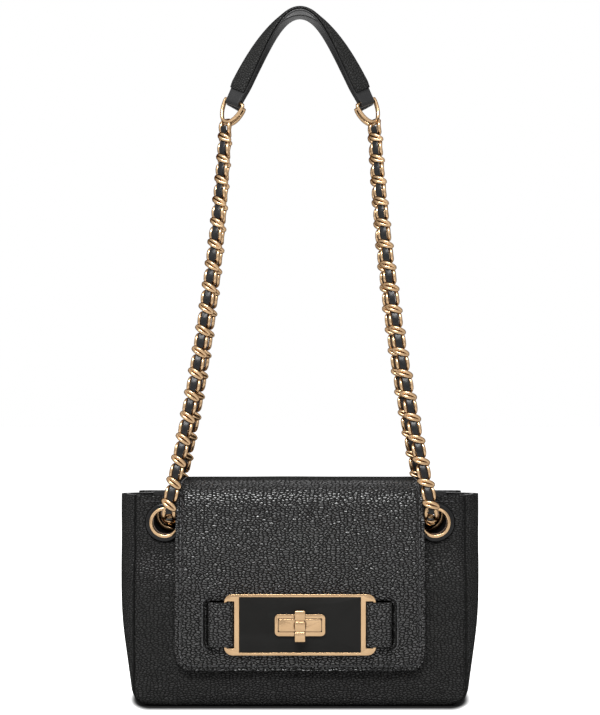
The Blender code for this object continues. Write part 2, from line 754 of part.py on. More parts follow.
def make_lock(materials, bag, knob_pivot, front_panel):
    gold, steel = materials["rose_gold"], materials["steel"]
    x, z = PLATE_MIDDLE
    inner_face = BASE_DEPTH / 2 - LEATHER
    pocket_floor = inner_face + LOCK_BACKING_THICKNESS + GAP
    block_width, block_height = SLOT_WIDTH - GAP * 2, SLOT_HEIGHT - GAP * 2
    base = add_mesh(
        "lock_base",
        outline_mesh(
            rounded_outline(block_width, block_height, KNOB_EDGE, PLATE_MIDDLE, 2), -LOCK_FRONT, -LOCK_BACK
        ),
        gold,
        knob_pivot.parent,
    )
    parts = [
        outline_mesh(lock_foot_outline(), -(LOCK_BACK + LOCK_FOOT_THICKNESS), -LOCK_BACK),
    ]
    for side in SIDES.values():
        prong = x + side * PRONG_SPACING / 2
        parts.append(
            box_mesh(
                (prong - PRONG_THICKNESS / 2, -LOCK_BACK - LOCK_FOOT_THICKNESS / 2, z - PRONG_WIDTH / 2),
                (prong + PRONG_THICKNESS / 2, -inner_face, z + PRONG_WIDTH / 2),
            )
        )
    for n, part in enumerate(parts):
        joined = base.modifiers.new(f"join {n}", "BOOLEAN")
        joined.operation = "UNION"
        joined.solver = "EXACT"
        joined.object = make_cutter(f"lock_base_piece_{n}", part)
    bore = SPINDLE_DIAMETER / 2 + GAP
    depth = SPINDLE_LENGTH + GAP
    cut(
        base,
        make_cutter(
            "spindle_bore",
            cylinder_mesh(bore, PLATE_MIDDLE, -LOCK_FRONT - OVERRUN, -LOCK_FRONT + depth),
        ),
    )

    backing = add_mesh(
        "lock_backing",
        outline_mesh(lock_foot_outline(), -(inner_face + LOCK_BACKING_THICKNESS), -inner_face),
        steel,
        bag,
        smooth=False,
    )
    slits = []
    for name, side in SIDES.items():
        prong = x + side * PRONG_SPACING / 2
        slits.append(
            make_cutter(
                name + "_prong_slit",
                box_mesh(
                    (prong - PRONG_THICKNESS / 2 - GAP, -LOCK_BACK - OVERRUN, z - PRONG_WIDTH / 2 - GAP),
                    (prong + PRONG_THICKNESS / 2 + GAP, -inner_face + OVERRUN, z + PRONG_WIDTH / 2 + GAP),
                ),
            )
        )
    for slit in slits:
        cut(backing, slit)
        cut(front_panel, slit)
    seat = rounded_outline(LOCK_FOOT_WIDTH + GAP * 2, LOCK_FOOT_HEIGHT + GAP * 2, KNOB_EDGE, PLATE_MIDDLE, 2)
    cut(front_panel, make_cutter("backing_seat", outline_mesh(seat, -pocket_floor, -inner_face + OVERRUN)))

    knob = add_mesh(
        "turn_knob",
        outline_mesh(
            rounded_outline(KNOB_WIDTH, KNOB_HEIGHT, KNOB_WIDTH / 4, PLATE_MIDDLE, 3), -KNOB_FRONT, -KNOB_BACK
        ),
        gold,
        knob_pivot,
    )
    spindle = knob.modifiers.new("spindle", "BOOLEAN")
    spindle.operation = "UNION"
    spindle.solver = "EXACT"
    spindle.object = make_cutter(
        "spindle",
        cylinder_mesh(
            SPINDLE_DIAMETER / 2, PLATE_MIDDLE, -KNOB_BACK - KNOB_EDGE, -LOCK_FRONT + SPINDLE_LENGTH
        ),
    )


def arch_height(x):
    """Height of the strap's middle layer over a place across the bag."""
    steep = ARCH_STEEPNESS_SHARE * x
    return STRAP_APEX - (math.sqrt(ARCH_ROUNDNESS**2 + steep**2) - ARCH_ROUNDNESS)


def arch_frame(x, facing):
    """(place, way along, outward normal, way across) of the strap at x, with its twist."""
    root = math.sqrt(ARCH_ROUNDNESS**2 + (ARCH_STEEPNESS_SHARE * x) ** 2)
    along = Vector((1, 0, -(ARCH_STEEPNESS_SHARE**2) * x / root)).normalized()
    out = Vector((-along.z, 0, along.x))
    twist = -facing * END_TWIST * smooth_step(abs(x) / ARCH_HALF_SPAN)
    across = Vector((0, math.cos(twist), 0)) + out * math.sin(twist)
    normal = out * math.cos(twist) - Vector((0, math.sin(twist), 0))
    return Vector((x, facing * STRAP_OFFSET, arch_height(x))), along, normal, across


LOOP_RADIUS = RING_WIRE / 2 + GAP + STRAP_LEATHER / 2  # of the strap's middle layer round a ring's bar


def ring_frame(side, facing):
    """(middle of the ring's bar, way along the bar, way down the ring)."""
    place, along, normal, across = arch_frame(side * ARCH_HALF_SPAN, facing)
    bar = place - normal * LOOP_RADIUS
    return bar, across, along * side


def strap_width(x):
    """The strap narrows past the pad, to pass between the legs of its rings."""
    past = (abs(x) / ARCH_HALF_SPAN - PAD_END_SHARE) / (1 - PAD_END_SHARE)
    return STRAP_WIDTH + (STRAP_END_WIDTH - STRAP_WIDTH) * smooth_step(past)


def arch_stations(facing, share):
    """Frames at even steps across the arch, over a share of its span."""
    last = round(ARCH_STEPS * share)
    return [arch_frame(ARCH_HALF_SPAN * step / ARCH_STEPS, facing) for step in range(-last, last + 1)]


def strap_mesh(facing):
    """A leather strap along the arch whose ends curl round the bars of its rings."""
    curls = []
    for side in (-1, 1):
        place, along, normal, across = arch_frame(side * ARCH_HALF_SPAN, facing)
        bar, down = place - normal * LOOP_RADIUS, along * side
        curl = []
        for step in range(1, CURL_STEPS + 1):
            angle = CURL_TURN * step / CURL_STEPS
            out = normal * math.cos(angle) + down * math.sin(angle)
            curl.append((bar + out * LOOP_RADIUS, out, across))
        curls.append(curl)
    arch = [(place, normal, across) for place, _, normal, across in arch_stations(facing, 1)]
    sections = []
    for place, normal, across in curls[0][::-1] + arch + curls[1]:
        half = across * strap_width(place.x) / 2
        push = normal * STRAP_LEATHER / 2
        sections.append([place + push + half * at for at in (-1, 0, 1)])
        sections[-1] += [place - push + half * at for at in (1, 0, -1)]
    return loft_mesh(sections)


def pad_mesh(facing):
    """The padded cover on the outside of the strap, crowned across its width."""
    sections = []
    for place, _, normal, across in arch_stations(facing, PAD_END_SHARE):
        floor = place + normal * (STRAP_LEATHER / 2 + GAP)
        half = across * STRAP_WIDTH / 2
        edge, crown = normal * PAD_THICKNESS * PAD_EDGE_SHARE, normal * PAD_THICKNESS
        over = [floor + half * at + crown for at in (PAD_CROWN_SHARE, -PAD_CROWN_SHARE)]
        sections.append([floor - half, floor, floor + half, floor + half + edge, *over, floor - half + edge])
    return loft_mesh(sections)


def ring_points_on(side, facing):
    """The middle of a ring's wire: a straight bar closed by half an ellipse."""
    bar, across, down = ring_frame(side, facing)
    half, drop = (RING_WIDTH - RING_WIRE) / 2, RING_HEIGHT - RING_WIRE
    points = []
    for step in range(RING_STEPS + 1):
        angle = math.pi * step / RING_STEPS
        points.append(bar + across * half * math.cos(angle) + down * drop * math.sin(angle))
    return points


def make_ring(name, side, facing, finish, pivot):
    curve = bpy.data.curves.new(name, "CURVE")
    curve.dimensions = "3D"
    curve.bevel_depth = RING_WIRE / 2
    curve.bevel_resolution = 1
    spline = curve.splines.new("POLY")
    points = ring_points_on(side, facing)
    spline.points.add(len(points) - 1)
    for slot, place in zip(spline.points, points):
        slot.co = (*place, 1)
    spline.use_cyclic_u = True
    curve.materials.append(finish)
    obj = bpy.data.objects.new(name, curve)
    bpy.context.scene.collection.objects.link(obj)
    put_on(obj, pivot)


# The chain's way into a grommet: down in front of the flap, then round a quarter turn
CHAIN_HALF_BUILD = CHAIN_THICKNESS / 2 + GAP + LACE_THICKNESS
CHAIN_FRONT = FLAP_STAND_TOP + PANEL_FACE + FLAP_BUILD + CHAIN_CLEARANCE + CHAIN_HALF_BUILD
BORE_REACH = EYELET_BORE / 2 * math.cos(math.pi / ROUND_SIDES) - GAP
# Pulled upwards, the chain's edges lie against the upper side of the bore
CHAIN_LIFT = math.sqrt(max(BORE_REACH**2 - (CHAIN_WIDTH / 2) ** 2, 0)) - CHAIN_THICKNESS / 2
BEND_CENTRE = (CHAIN_FRONT - CHAIN_BEND, GROMMET_HEIGHT + CHAIN_LIFT + CHAIN_BEND)
PIVOT_OUT = BEND_CENTRE[0] + CHAIN_BEND * math.cos(CHAIN_TURN)
PIVOT_HEIGHT = BEND_CENTRE[1] - CHAIN_BEND * math.sin(CHAIN_TURN)


def chain_top(side, facing):
    bar, _, down = ring_frame(side, facing)
    return bar + down * (RING_HEIGHT - RING_WIRE / 2 + GAP)


def bend_point(side, facing, angle):
    """A place on the turn into a grommet, from 0 where it starts to a quarter turn where it goes in."""
    out = BEND_CENTRE[0] + CHAIN_BEND * math.cos(angle)
    return Vector((side * GROMMET_X, facing * out, BEND_CENTRE[1] - CHAIN_BEND * math.sin(angle)))


def run_route(side, facing):
    """Points from under a ring down to the strap's joint in front of a grommet, and one past each end."""
    top = chain_top(side, facing)
    foot = Vector((side * GROMMET_X, facing * CHAIN_FRONT, BEND_CENTRE[1]))
    route = []
    for step in range(RUN_STEPS + 1):
        share = step / RUN_STEPS
        place = top.lerp(foot, share)
        place.x -= side * CHAIN_BOW * 4 * share * (1 - share)
        route.append(place)
    for step in range(1, BEND_STEPS + 2):
        route.append(bend_point(side, facing, CHAIN_TURN * step / BEND_STEPS))
    return [route[0] * 2 - route[1], *route]


def inside_route(side):
    """Points from the front joint through both grommets to the rear joint, and one past each end."""
    rest = (math.pi / 2 - CHAIN_TURN) / BEND_STEPS
    turns = [CHAIN_TURN + rest * step for step in range(-1, BEND_STEPS + 1)]
    route = [bend_point(side, -1, turn) for turn in turns]
    for share in INSIDE_SHARES:
        sag = INSIDE_SAG * (1 - share * share)
        route.append(Vector((side * GROMMET_X, WASHER_BACK * share, GROMMET_HEIGHT + CHAIN_LIFT - sag)))
    route += [bend_point(side, 1, turn) for turn in reversed(turns)]
    return route


def along_route(route):
    """Frames on a route: (place, way along, way across, way out), its length, and its count of link pairs.

    The first and last points only give the way at the ends.
    """
    lengths = [0]
    for a, b in zip(route[1:-2], route[2:-1]):
        lengths.append(lengths[-1] + (b - a).length)
    start, total = GAP / 2, lengths[-1] - GAP

    def frame(share):
        at = start + total * share
        n = max(i for i, length in enumerate(lengths[:-1]) if length <= at)
        local = (at - lengths[n]) / (lengths[n + 1] - lengths[n])
        before, here, there, after = route[n : n + 4]
        place = here.lerp(there, local)
        along = (there - before).normalized().lerp((after - here).normalized(), local).normalized()
        across = Vector((1, 0, 0))
        across = (across - along * across.dot(along)).normalized()
        return place, along, across, along.cross(across)

    return frame, total, max(round(total / CHAIN_PITCH), 1)


def chain_mesh(route):
    """Pairs of links as a flat ladder: waists where pairs meet, and a window in each pair."""
    frame, total, cells = along_route(route)
    gap_share = CHAIN_CROSSING / 2 / total
    window = CHAIN_WIDTH / 2 * CHAIN_WINDOW_SHARE
    waist, belly = CHAIN_WIDTH / 2 * CHAIN_WAIST_SHARE, CHAIN_WIDTH / 2
    bm = bmesh.new()

    def point(share, across_by, out_by):
        place, _, across, out = frame(share)
        return bm.verts.new(place + across * across_by + out * out_by)

    half = CHAIN_THICKNESS / 2
    layers = []
    for out_by in (half, -half):
        rims, windows = [], []
        for cell in range(cells + 1):
            rims.append([point(cell / cells, end * waist, out_by) for end in (-1, 1)])
            if cell < cells:
                rims.append([point((cell + 0.5) / cells, end * belly, out_by) for end in (-1, 1)])
                first, last = cell / cells + gap_share, (cell + 1) / cells - gap_share
                corners = ((first, -1), (last, -1), (last, 1), (first, 1))
                windows.append([point(share, end * window, out_by) for share, end in corners])
        layers.append((rims, windows))
    for rims, windows in layers:
        for cell in range(cells):
            low, mid, high = rims[2 * cell : 2 * cell + 3]
            a, b, c, d = windows[cell]
            bm.faces.new((low[0], mid[0], a))
            bm.faces.new((mid[0], b, a))
            bm.faces.new((mid[0], high[0], b))
            bm.faces.new((low[1], d, mid[1]))
            bm.faces.new((mid[1], d, c))
            bm.faces.new((mid[1], c, high[1]))
            bm.faces.new((low[0], a, d, low[1]))
            bm.faces.new((high[0], high[1], c, b))
    (rims, windows), (under_rims, under_windows) = layers
    for n in range(len(rims) - 1):
        for end in (0, 1):
            bm.faces.new((rims[n][end], rims[n + 1][end], under_rims[n + 1][end], under_rims[n][end]))
    for n in (0, -1):
        bm.faces.new((rims[n][0], rims[n][1], under_rims[n][1], under_rims[n][0]))
    for over, under in zip(windows, under_windows):
        for n in range(4):
            after = (n + 1) % 4
            bm.faces.new((over[n], over[after], under[after], under[n]))
    return bm


def lace_mesh(route):
    """The leather lace, in front of one crossing and behind the next."""
    frame, total, cells = along_route(route)
    clear = (CHAIN_CROSSING / 2 + LACE_THICKNESS) / total
    half_width = CHAIN_WIDTH / 2 * CHAIN_WINDOW_SHARE - GAP
    lift = CHAIN_THICKNESS / 2 + GAP + LACE_THICKNESS / 2
    stations = []
    for cell in range(cells + 1):
        over = lift if cell % 2 else -lift
        shares = [cell / cells - clear, cell / cells + clear]
        stations += [(min(max(share, 0), 1), over) for share in shares if -clear / 2 < share < 1 + clear / 2]
    if stations[0][0] > 0:
        stations.insert(0, (0, stations[0][1]))
    if stations[-1][0] < 1:
        stations.append((1, stations[-1][1]))
    sections = []
    for share, over in stations:
        place, _, across, out = frame(share)
        sections.append(
            [
                place + across * end * half_width + out * (over + side * LACE_THICKNESS / 2)
                for end, side in ((-1, 1), (1, 1), (1, -1), (-1, -1))
            ]
        )
    return loft_mesh(sections)


def make_strap(materials, bag, strap_pivots):
    gold, smooth = materials["rose_gold"], materials["smooth_leather"]
    for face_name, facing in FACES.items():
        pivot = strap_pivots[face_name]
        add_mesh(face_name + "_strap", strap_mesh(facing), smooth, pivot)
        add_mesh(face_name + "_pad", pad_mesh(facing), materials["pebbled_leather"], pivot)
        for side_name, side in SIDES.items():
            name = f"{face_name}_{side_name}"
            ring_pivot = make_pivot(name + "_ring_pivot", ring_frame(side, facing)[0], pivot)
            make_ring(name + "_ring", side, facing, gold, ring_pivot)
            route = run_route(side, facing)
            add_mesh(name + "_chain", chain_mesh(route), gold, pivot, smooth=False)
            add_mesh(name + "_lace", lace_mesh(route), smooth, pivot, smooth=False)
    for side_name, side in SIDES.items():
        route = inside_route(side)
        add_mesh(side_name + "_inside_chain", chain_mesh(route), gold, bag, smooth=False)
        add_mesh(side_name + "_inside_lace", lace_mesh(route), smooth, bag, smooth=False)


def main():
    clear_scene()
    materials = {name: make_material(name) for name in FINISHES}
    bag = make_pivot("bag", (0, 0, 0))
    flap_pivot = make_pivot("flap_pivot", (0, FOLD_Y, HINGE_Z), bag)
    knob_pivot = make_pivot("knob_pivot", (PLATE_MIDDLE[0], -KNOB_BACK, PLATE_MIDDLE[1]), bag)
    strap_pivots = {
        name: make_pivot(name + "_strap_pivot", (0, facing * PIVOT_OUT, PIVOT_HEIGHT), bag)
        for name, facing in FACES.items()
    }
    body = make_body(materials, bag)
    make_grommets(materials, bag, body)
    make_flap(materials, bag, flap_pivot)
    make_lock(materials, bag, knob_pivot, body["front_panel"])
    make_strap(materials, bag, strap_pivots)


main()
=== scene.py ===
from math import copysign, cos, exp, pi, radians, sin, sqrt

import bpy
from mathutils import Matrix, Vector


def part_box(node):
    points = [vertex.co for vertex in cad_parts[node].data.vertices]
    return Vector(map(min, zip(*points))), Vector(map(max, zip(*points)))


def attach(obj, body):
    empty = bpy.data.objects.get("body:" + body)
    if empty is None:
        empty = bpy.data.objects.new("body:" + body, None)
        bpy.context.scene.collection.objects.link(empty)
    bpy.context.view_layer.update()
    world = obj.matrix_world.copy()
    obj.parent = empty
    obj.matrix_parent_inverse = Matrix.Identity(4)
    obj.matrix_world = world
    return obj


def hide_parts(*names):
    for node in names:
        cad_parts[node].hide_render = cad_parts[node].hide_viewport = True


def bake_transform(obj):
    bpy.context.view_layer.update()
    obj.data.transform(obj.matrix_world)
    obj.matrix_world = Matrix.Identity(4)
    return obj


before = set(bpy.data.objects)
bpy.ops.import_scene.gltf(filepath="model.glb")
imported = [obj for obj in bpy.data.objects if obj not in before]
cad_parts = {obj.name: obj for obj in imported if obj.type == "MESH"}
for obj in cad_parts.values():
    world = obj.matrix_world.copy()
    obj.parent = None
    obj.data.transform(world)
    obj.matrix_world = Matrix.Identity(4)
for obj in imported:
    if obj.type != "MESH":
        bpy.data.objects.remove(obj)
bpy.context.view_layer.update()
print("frame loaded")

mm = 0.001
quarter = pi / 2
leftRight = (("left", -1), ("right", 1))
frontRear = (("front", -1), ("rear", 1))
corners = [
    (f"{face}_{sideName}", face + sideName.title(), face, facing, side)
    for face, facing in frontRear for sideName, side in leftRight
]


def millimetres(**sizes):
    return {
        name: tuple(part * mm for part in size) if isinstance(size, tuple) else size * mm
        for name, size in sizes.items()
    }


def spaced(first, last, steps):
    return [between(first, last, step / steps) for step in range(steps + 1)]


def between(first, last, share):
    return first + (last - first) * share


def roundIn(radius, rise):
    # how far a rounded corner draws in, at a rise above its start
    return radius - sqrt(max(radius * radius - rise * rise, 0.0))


def signedPower(value, power):
    return copysign(abs(value) ** power, value)


def deselectAll():
    for obj in bpy.context.selected_objects:
        obj.select_set(False)


def makeActive(piece):
    deselectAll()
    bpy.context.view_layer.objects.active = piece
    piece.select_set(True)


def freeze(piece):
    makeActive(piece)
    bpy.ops.object.transform_apply(location=True, rotation=True, scale=True)


def addObject(name, data):
    piece = bpy.data.objects.new(name, data)
    bpy.context.scene.collection.objects.link(piece)
    return piece


# helpers for shader nodes

def feed(tree, node, inputs):
    # gives each input its value, or links it to the socket that drives it
    for name, value in dict(inputs).items():
        socket = node.inputs[name]
        if isinstance(value, bpy.types.NodeSocket):
            tree.links.new(value, socket)
        elif socket.type == "RGBA":
            socket.default_value = (*value, 1)
        else:
            socket.default_value = value


def addNode(tree, kind, inputs=(), **settings):
    node = tree.nodes.new("ShaderNode" + kind)
    for name, value in settings.items():
        setattr(node, name, value)
    feed(tree, node, inputs)
    return node.outputs


def calculate(tree, operation, *values):
    return addNode(tree, "Math", enumerate(values), operation=operation)[0]


def smoothRange(tree, value, start, end, kind="SMOOTHSTEP"):
    limits = {"Value": value, "From Min": start, "From Max": end}
    return addNode(tree, "MapRange", limits, interpolation_type=kind)[0]


def mixColours(tree, factor, first, second):
    colours = {"Factor": factor, "A": first, "B": second}
    return addNode(tree, "Mix", colours, data_type="RGBA")["Result"]


def newMaterial(name):
    material = bpy.data.materials.new(name)
    material.use_nodes = True
    return material, material.node_tree, material.node_tree.nodes["Principled BSDF"]


# camera, lamps and floor

white = (1, 1, 1)
studio = {"cameraPlace": (0.0, -1.10, 0.223), "lens": 83.83, "worldStrength": 0.08}
# place, height that it is aimed at, size and watts
lamps = {
    "keyLamp": ((-0.2, -0.95, 1.15), 0.12, (0.9, 0.25), 26.0),
    "fillLamp": ((0.45, -1.2, 0.75), 0.15, (0.7, 0.5), 1.5),
    "sideLamp": ((-0.9, -0.8, 0.7), 0.15, (0.4, 0.9), 1.0),
    "topLamp": ((0.0, 0.15, 1.35), 0.1, (1.0, 0.4), 1.5),
    "backLamp": ((0.3, 1.0, 0.85), 0.12, (0.9, 0.5), 4.0),
}
# footHalf to whiteTo set where the painted shadow at the bag's foot ends and the paper turns white, sooner at
# the sides
paper = {
    "size": 6, "place": (0, 1.2, -0.0002), "colour": (0.8, 0.8, 0.8), "paintedShadowColour": (0.012, 0.012, 0.012),
    "roughness": 0.8, "specular": 0.15, "mirrored": 0.4,
    "footHalf": 0.095, "sideSteepness": 3.0, "whiteFrom": 0.0385, "whiteTo": 0.054,
}


def buildStudio():
    scene = bpy.context.scene
    scene.view_settings.view_transform = "Standard"
    camera = bpy.data.cameras.new("camera")
    camera.lens = studio["lens"]
    scene.camera = addObject("camera", camera)
    scene.camera.location = studio["cameraPlace"]
    scene.camera.rotation_euler = (quarter, 0, 0)
    for name, (place, aim, size, power) in lamps.items():
        lamp = bpy.data.lights.new(name, "AREA")
        lamp.shape = "RECTANGLE"
        lamp.size, lamp.size_y = size
        lamp.energy = power
        holder = addObject(name, lamp)
        holder.location = place
        holder.rotation_euler = (Vector((0, 0, aim)) - Vector(place)).to_track_quat("-Z", "Y").to_euler()

    scene.world = bpy.data.worlds.new("studioWorld")
    scene.world.use_nodes = True
    tree = scene.world.node_tree
    tree.nodes.clear()
    path = addNode(tree, "LightPath")
    seen = calculate(tree, "MAXIMUM", path["Is Camera Ray"], path["Is Transmission Ray"])
    seen = calculate(tree, "MAXIMUM", seen, path["Is Glossy Ray"])
    around = addNode(tree, "Background", {"Strength": studio["worldStrength"], "Color": white})
    behind = addNode(tree, "Background", {"Color": white})
    mix = addNode(tree, "MixShader", {"Fac": seen, 1: around[0], 2: behind[0]})
    addNode(tree, "OutputWorld", {"Surface": mix[0]})
    print("studio ready")


def buildFloor():
    deselectAll()
    bpy.ops.mesh.primitive_plane_add(size=paper["size"], location=paper["place"])
    floor = bpy.context.object
    floor.name = "floor"
    freeze(floor)
    material, tree, shader = newMaterial("floorPaper")
    # the camera sees the paper lifted to white away from the bag's foot; near the foot the lamps' shadow is
    # kept and the paper's colour darkens into a painted shadow
    parts = addNode(tree, "SeparateXYZ", {0: addNode(tree, "TexCoord")["Object"]})
    beyond = calculate(tree, "SUBTRACT", calculate(tree, "ABSOLUTE", parts["X"]), paper["footHalf"])
    beyond = calculate(tree, "MULTIPLY", calculate(tree, "MAXIMUM", beyond, 0.0), paper["sideSteepness"])
    corner = addNode(tree, "CombineXYZ", {"X": beyond, "Y": parts["Y"]})[0]
    distance = addNode(tree, "VectorMath", {0: corner}, operation="LENGTH")["Value"]
    # painted shadow: away is 0 at the bag's foot, where the paper takes the dark painted shadow colour, and 1
    # where it turns white
    away = smoothRange(tree, distance, paper["whiteFrom"], paper["whiteTo"])
    path = addNode(tree, "LightPath")
    mirrored = calculate(tree, "MULTIPLY", path["Is Glossy Ray"], paper["mirrored"])
    lit = calculate(tree, "MAXIMUM", path["Is Camera Ray"], mirrored)
    feed(tree, shader, {
        "Base Color": mixColours(tree, away, paper["paintedShadowColour"], paper["colour"]),
        "Roughness": paper["roughness"], "Specular IOR Level": paper["specular"],
        "Emission Color": white, "Emission Strength": calculate(tree, "MULTIPLY", lit, away),
    })
    floor.data.materials.append(material)


buildStudio()
buildFloor()


# shared shader groups

grain = {
    "bendScale": 260, "pull": 0.0024, "randomness": 0.9, "pebbleEdge": 0.28, "pebbleHeight": 0.25,
    "dome": -0.3, "slowScale": 42, "slowStretch": (0.6, 0.6, 2.2), "poreScale": 2200, "poreHeight": 0.004,
    "paintedGrooveShadeGain": 0.4, "paintedGrooveShadeLow": 0.35, "grooveRoughness": 0.60, "topRoughness": 0.36, "polishPower": 1.1,
}
wearScale = 60


def openGroup(name, inputs):
    group = bpy.data.node_groups.new(name, "ShaderNodeTree")
    for label, value in inputs.items():
        kind = "NodeSocketVector" if isinstance(value, tuple) else "NodeSocketFloat"
        socket = group.interface.new_socket(label, in_out="INPUT", socket_type=kind)
        socket.default_value = value
    return group, group.nodes.new("NodeGroupInput").outputs


def closeGroup(group, results):
    for label in results:
        group.interface.new_socket(label, in_out="OUTPUT", socket_type="NodeSocketFloat")
    feed(group, group.nodes.new("NodeGroupOutput"), results)
    return group


def buildLeatherGrain():
    # rounded pebbles of uneven height, the grooves between them, fine pores and slow creases
    group, given = openGroup("leatherGrain", {
        "Pebble Scale": 430.0, "Stretch": (1, 1, 1), "Crease": 0.35, "Wear": 0.5,
    })
    place = addNode(group, "TexCoord")
    stretched = addNode(group, "VectorMath", {0: place["UV"], 1: given["Stretch"]}, operation="MULTIPLY")[0]
    bend = addNode(group, "TexNoise", {"Vector": stretched, "Scale": grain["bendScale"], "Detail": 1})
    pulls = {0: bend["Color"], 1: (grain["pull"],) * 3, 2: stretched}
    pulled = addNode(group, "VectorMath", pulls, operation="MULTIPLY_ADD")[0]
    spread = {"Vector": pulled, "Scale": given["Pebble Scale"], "Randomness": grain["randomness"]}
    edges = addNode(group, "TexVoronoi", spread, feature="DISTANCE_TO_EDGE", voronoi_dimensions="2D")
    cells = addNode(group, "TexVoronoi", spread, voronoi_dimensions="2D")["Distance"]
    pebble = smoothRange(group, edges["Distance"], 0.0, grain["pebbleEdge"], "SMOOTHERSTEP")
    dome = calculate(group, "MULTIPLY", calculate(group, "MULTIPLY", cells, cells), grain["dome"])
    uneven = calculate(group, "MULTIPLY_ADD", pebble, grain["pebbleHeight"], dome)
    levels = {0: place["Object"], 1: grain["slowStretch"]}
    level = addNode(group, "VectorMath", levels, operation="MULTIPLY")[0]
    slow = addNode(group, "TexNoise", {"Vector": level, "Scale": grain["slowScale"], "Detail": 3})["Fac"]
    fine = addNode(group, "TexNoise", {"Vector": place["Object"], "Scale": grain["poreScale"], "Detail": 2})
    pores = calculate(group, "MULTIPLY", fine["Fac"], grain["poreHeight"])
    waves = calculate(group, "MULTIPLY", slow, given["Crease"])
    # painted shade: the base colour is darker in the grooves between the pebbles, as if shaded there
    paintedGrooveShade = calculate(group, "MULTIPLY_ADD", pebble, grain["paintedGrooveShadeGain"], grain["paintedGrooveShadeLow"])
    rough = addNode(group, "MapRange", {
        "Value": pebble, "To Min": grain["grooveRoughness"], "To Max": grain["topRoughness"],
    })
    # Shade carries the grooves' painted shade together with the slow random tone of wear
    return closeGroup(group, {
        "Height": calculate(group, "ADD", calculate(group, "ADD", uneven, pores), waves),
        "Shade": calculate(group, "ADD", paintedGrooveShade, calculate(group, "MULTIPLY", slow, given["Wear"])),
        "Roughness": rough[0],
        "Polish": calculate(group, "POWER", pebble, grain["polishPower"]),
    })


def buildFineWear():
    # faint scratches and smudges for metal, enamel and smooth leather
    group, given = openGroup("fineWear", {"Scale": 400.0, "Amount": 0.1, "Base Roughness": 0.2})
    place = addNode(group, "TexCoord")["Object"]
    noise = addNode(group, "TexNoise", {"Vector": place, "Scale": given["Scale"], "Detail": 4})["Fac"]
    slow = addNode(group, "TexNoise", {"Vector": place, "Scale": wearScale})["Fac"]
    scaled = calculate(group, "MULTIPLY", calculate(group, "SUBTRACT", noise, 0.5), given["Amount"])
    return closeGroup(group, {
        "Height": noise, "Shade": slow, "Roughness": calculate(group, "ADD", scaled, given["Base Roughness"]),
    })


leatherGrain = buildLeatherGrain()
fineWear = buildFineWear()


def grainedLeather(name, slot, **look):
    material, tree, shader = newMaterial(name)
    given = addNode(tree, "Group", {
        "Pebble Scale": look["scale"], "Stretch": look["stretch"], "Crease": look["crease"],
        "Wear": look["wear"],
    }, node_tree=leatherGrain)
    normal = addNode(tree, "Bump", {"Distance": look["depth"], "Height": given["Height"]})["Normal"]
    # only the tops of the pebbles are polished, and the grooves stay dull
    facing = addNode(tree, "LayerWeight")["Facing"]
    polish = calculate(tree, "MULTIPLY", given["Polish"], look["polish"])
    # the dark colour fills the grooves as painted shade, the light colour the pebble tops
    feed(tree, shader, {
        "Base Color": mixColours(tree, given["Shade"], look["dark"], look["light"]),
        "Roughness": given["Roughness"], "Specular IOR Level": 0.0, "Normal": normal, "Coat Normal": normal,
        "Coat Weight": calculate(tree, "MULTIPLY", polish, calculate(tree, "SUBTRACT", 1.0, facing)),
        "Coat Roughness": look["coatRoughness"], "Coat IOR": look["coatIor"],
    })
    return material


def plainFinish(name, slot, **look):
    material, tree, shader = newMaterial(name)
    wear = addNode(tree, "Group", {
        "Scale": look["scale"], "Amount": look["amount"], "Base Roughness": look["roughness"],
    }, node_tree=fineWear)
    colour = mixColours(tree, wear["Shade"], look["dark"], look["light"])
    if "rim" in look:
        # painted reflection: the colour darkens towards the rim colour where the metal turns away from the
        # view, standing in for dark surroundings reflected at its edges
        paintedRimMask = smoothRange(tree, addNode(tree, "LayerWeight")["Facing"], look["rimFrom"], look["rimTo"])
        colour = mixColours(tree, paintedRimMask, colour, look["rim"])
    bump = {"Strength": look["bump"], "Distance": look["depth"], "Height": wear["Height"]}
    feed(tree, shader, {
        "Base Color": colour, "Roughness": wear["Roughness"], "Normal": addNode(tree, "Bump", bump)["Normal"],
        "Metallic": look.get("metallic", 0.0), "Specular IOR Level": look.get("specular", 0.5),
        "Specular Tint": look.get("edgeTint", white),
    })
    return material


# each grained leather's dark colour is the painted shade in its grooves
pebbled = grainedLeather(
    "pebbledLeather", "pebbled_leather", scale=450.0, stretch=(0.82, 1.5, 1), crease=0.2, wear=0.25,
    dark=(0.002, 0.002, 0.002), light=(0.019, 0.019, 0.0186), depth=0.0017, polish=1.0, coatRoughness=0.25,
    coatIor=1.6,
)
bodyLeather = grainedLeather(
    "bodyLeather", "pebbled_leather", scale=460.0, stretch=(0.9, 1.7, 1), crease=1.1, wear=0.3,
    dark=(0.002, 0.002, 0.002), light=(0.023, 0.023, 0.0225), depth=0.0014, polish=0.45, coatRoughness=0.32,
    coatIor=1.45,
)
padLeather = grainedLeather(
    "padLeather", "pebbled_leather", scale=520.0, stretch=(1, 1.2, 1), crease=0.3, wear=0.3,
    dark=(0.007, 0.007, 0.0069), light=(0.024, 0.024, 0.0235), depth=0.0009, polish=0.35, coatRoughness=0.4,
    coatIor=1.45,
)
bandLeather = plainFinish(
    "bandLeather", "smooth_leather", scale=900.0, amount=0.25, roughness=0.34, dark=(0.007, 0.007, 0.0072),
    light=(0.017, 0.017, 0.0175), specular=0.28, bump=0.3, depth=0.0003,
)
smoothLeather = plainFinish(
    "smoothLeather", "smooth_leather", scale=900.0, amount=0.25, roughness=0.3, dark=(0.005, 0.005, 0.005),
    light=(0.014, 0.014, 0.0145), specular=0.2, bump=0.35, depth=0.0003,
)
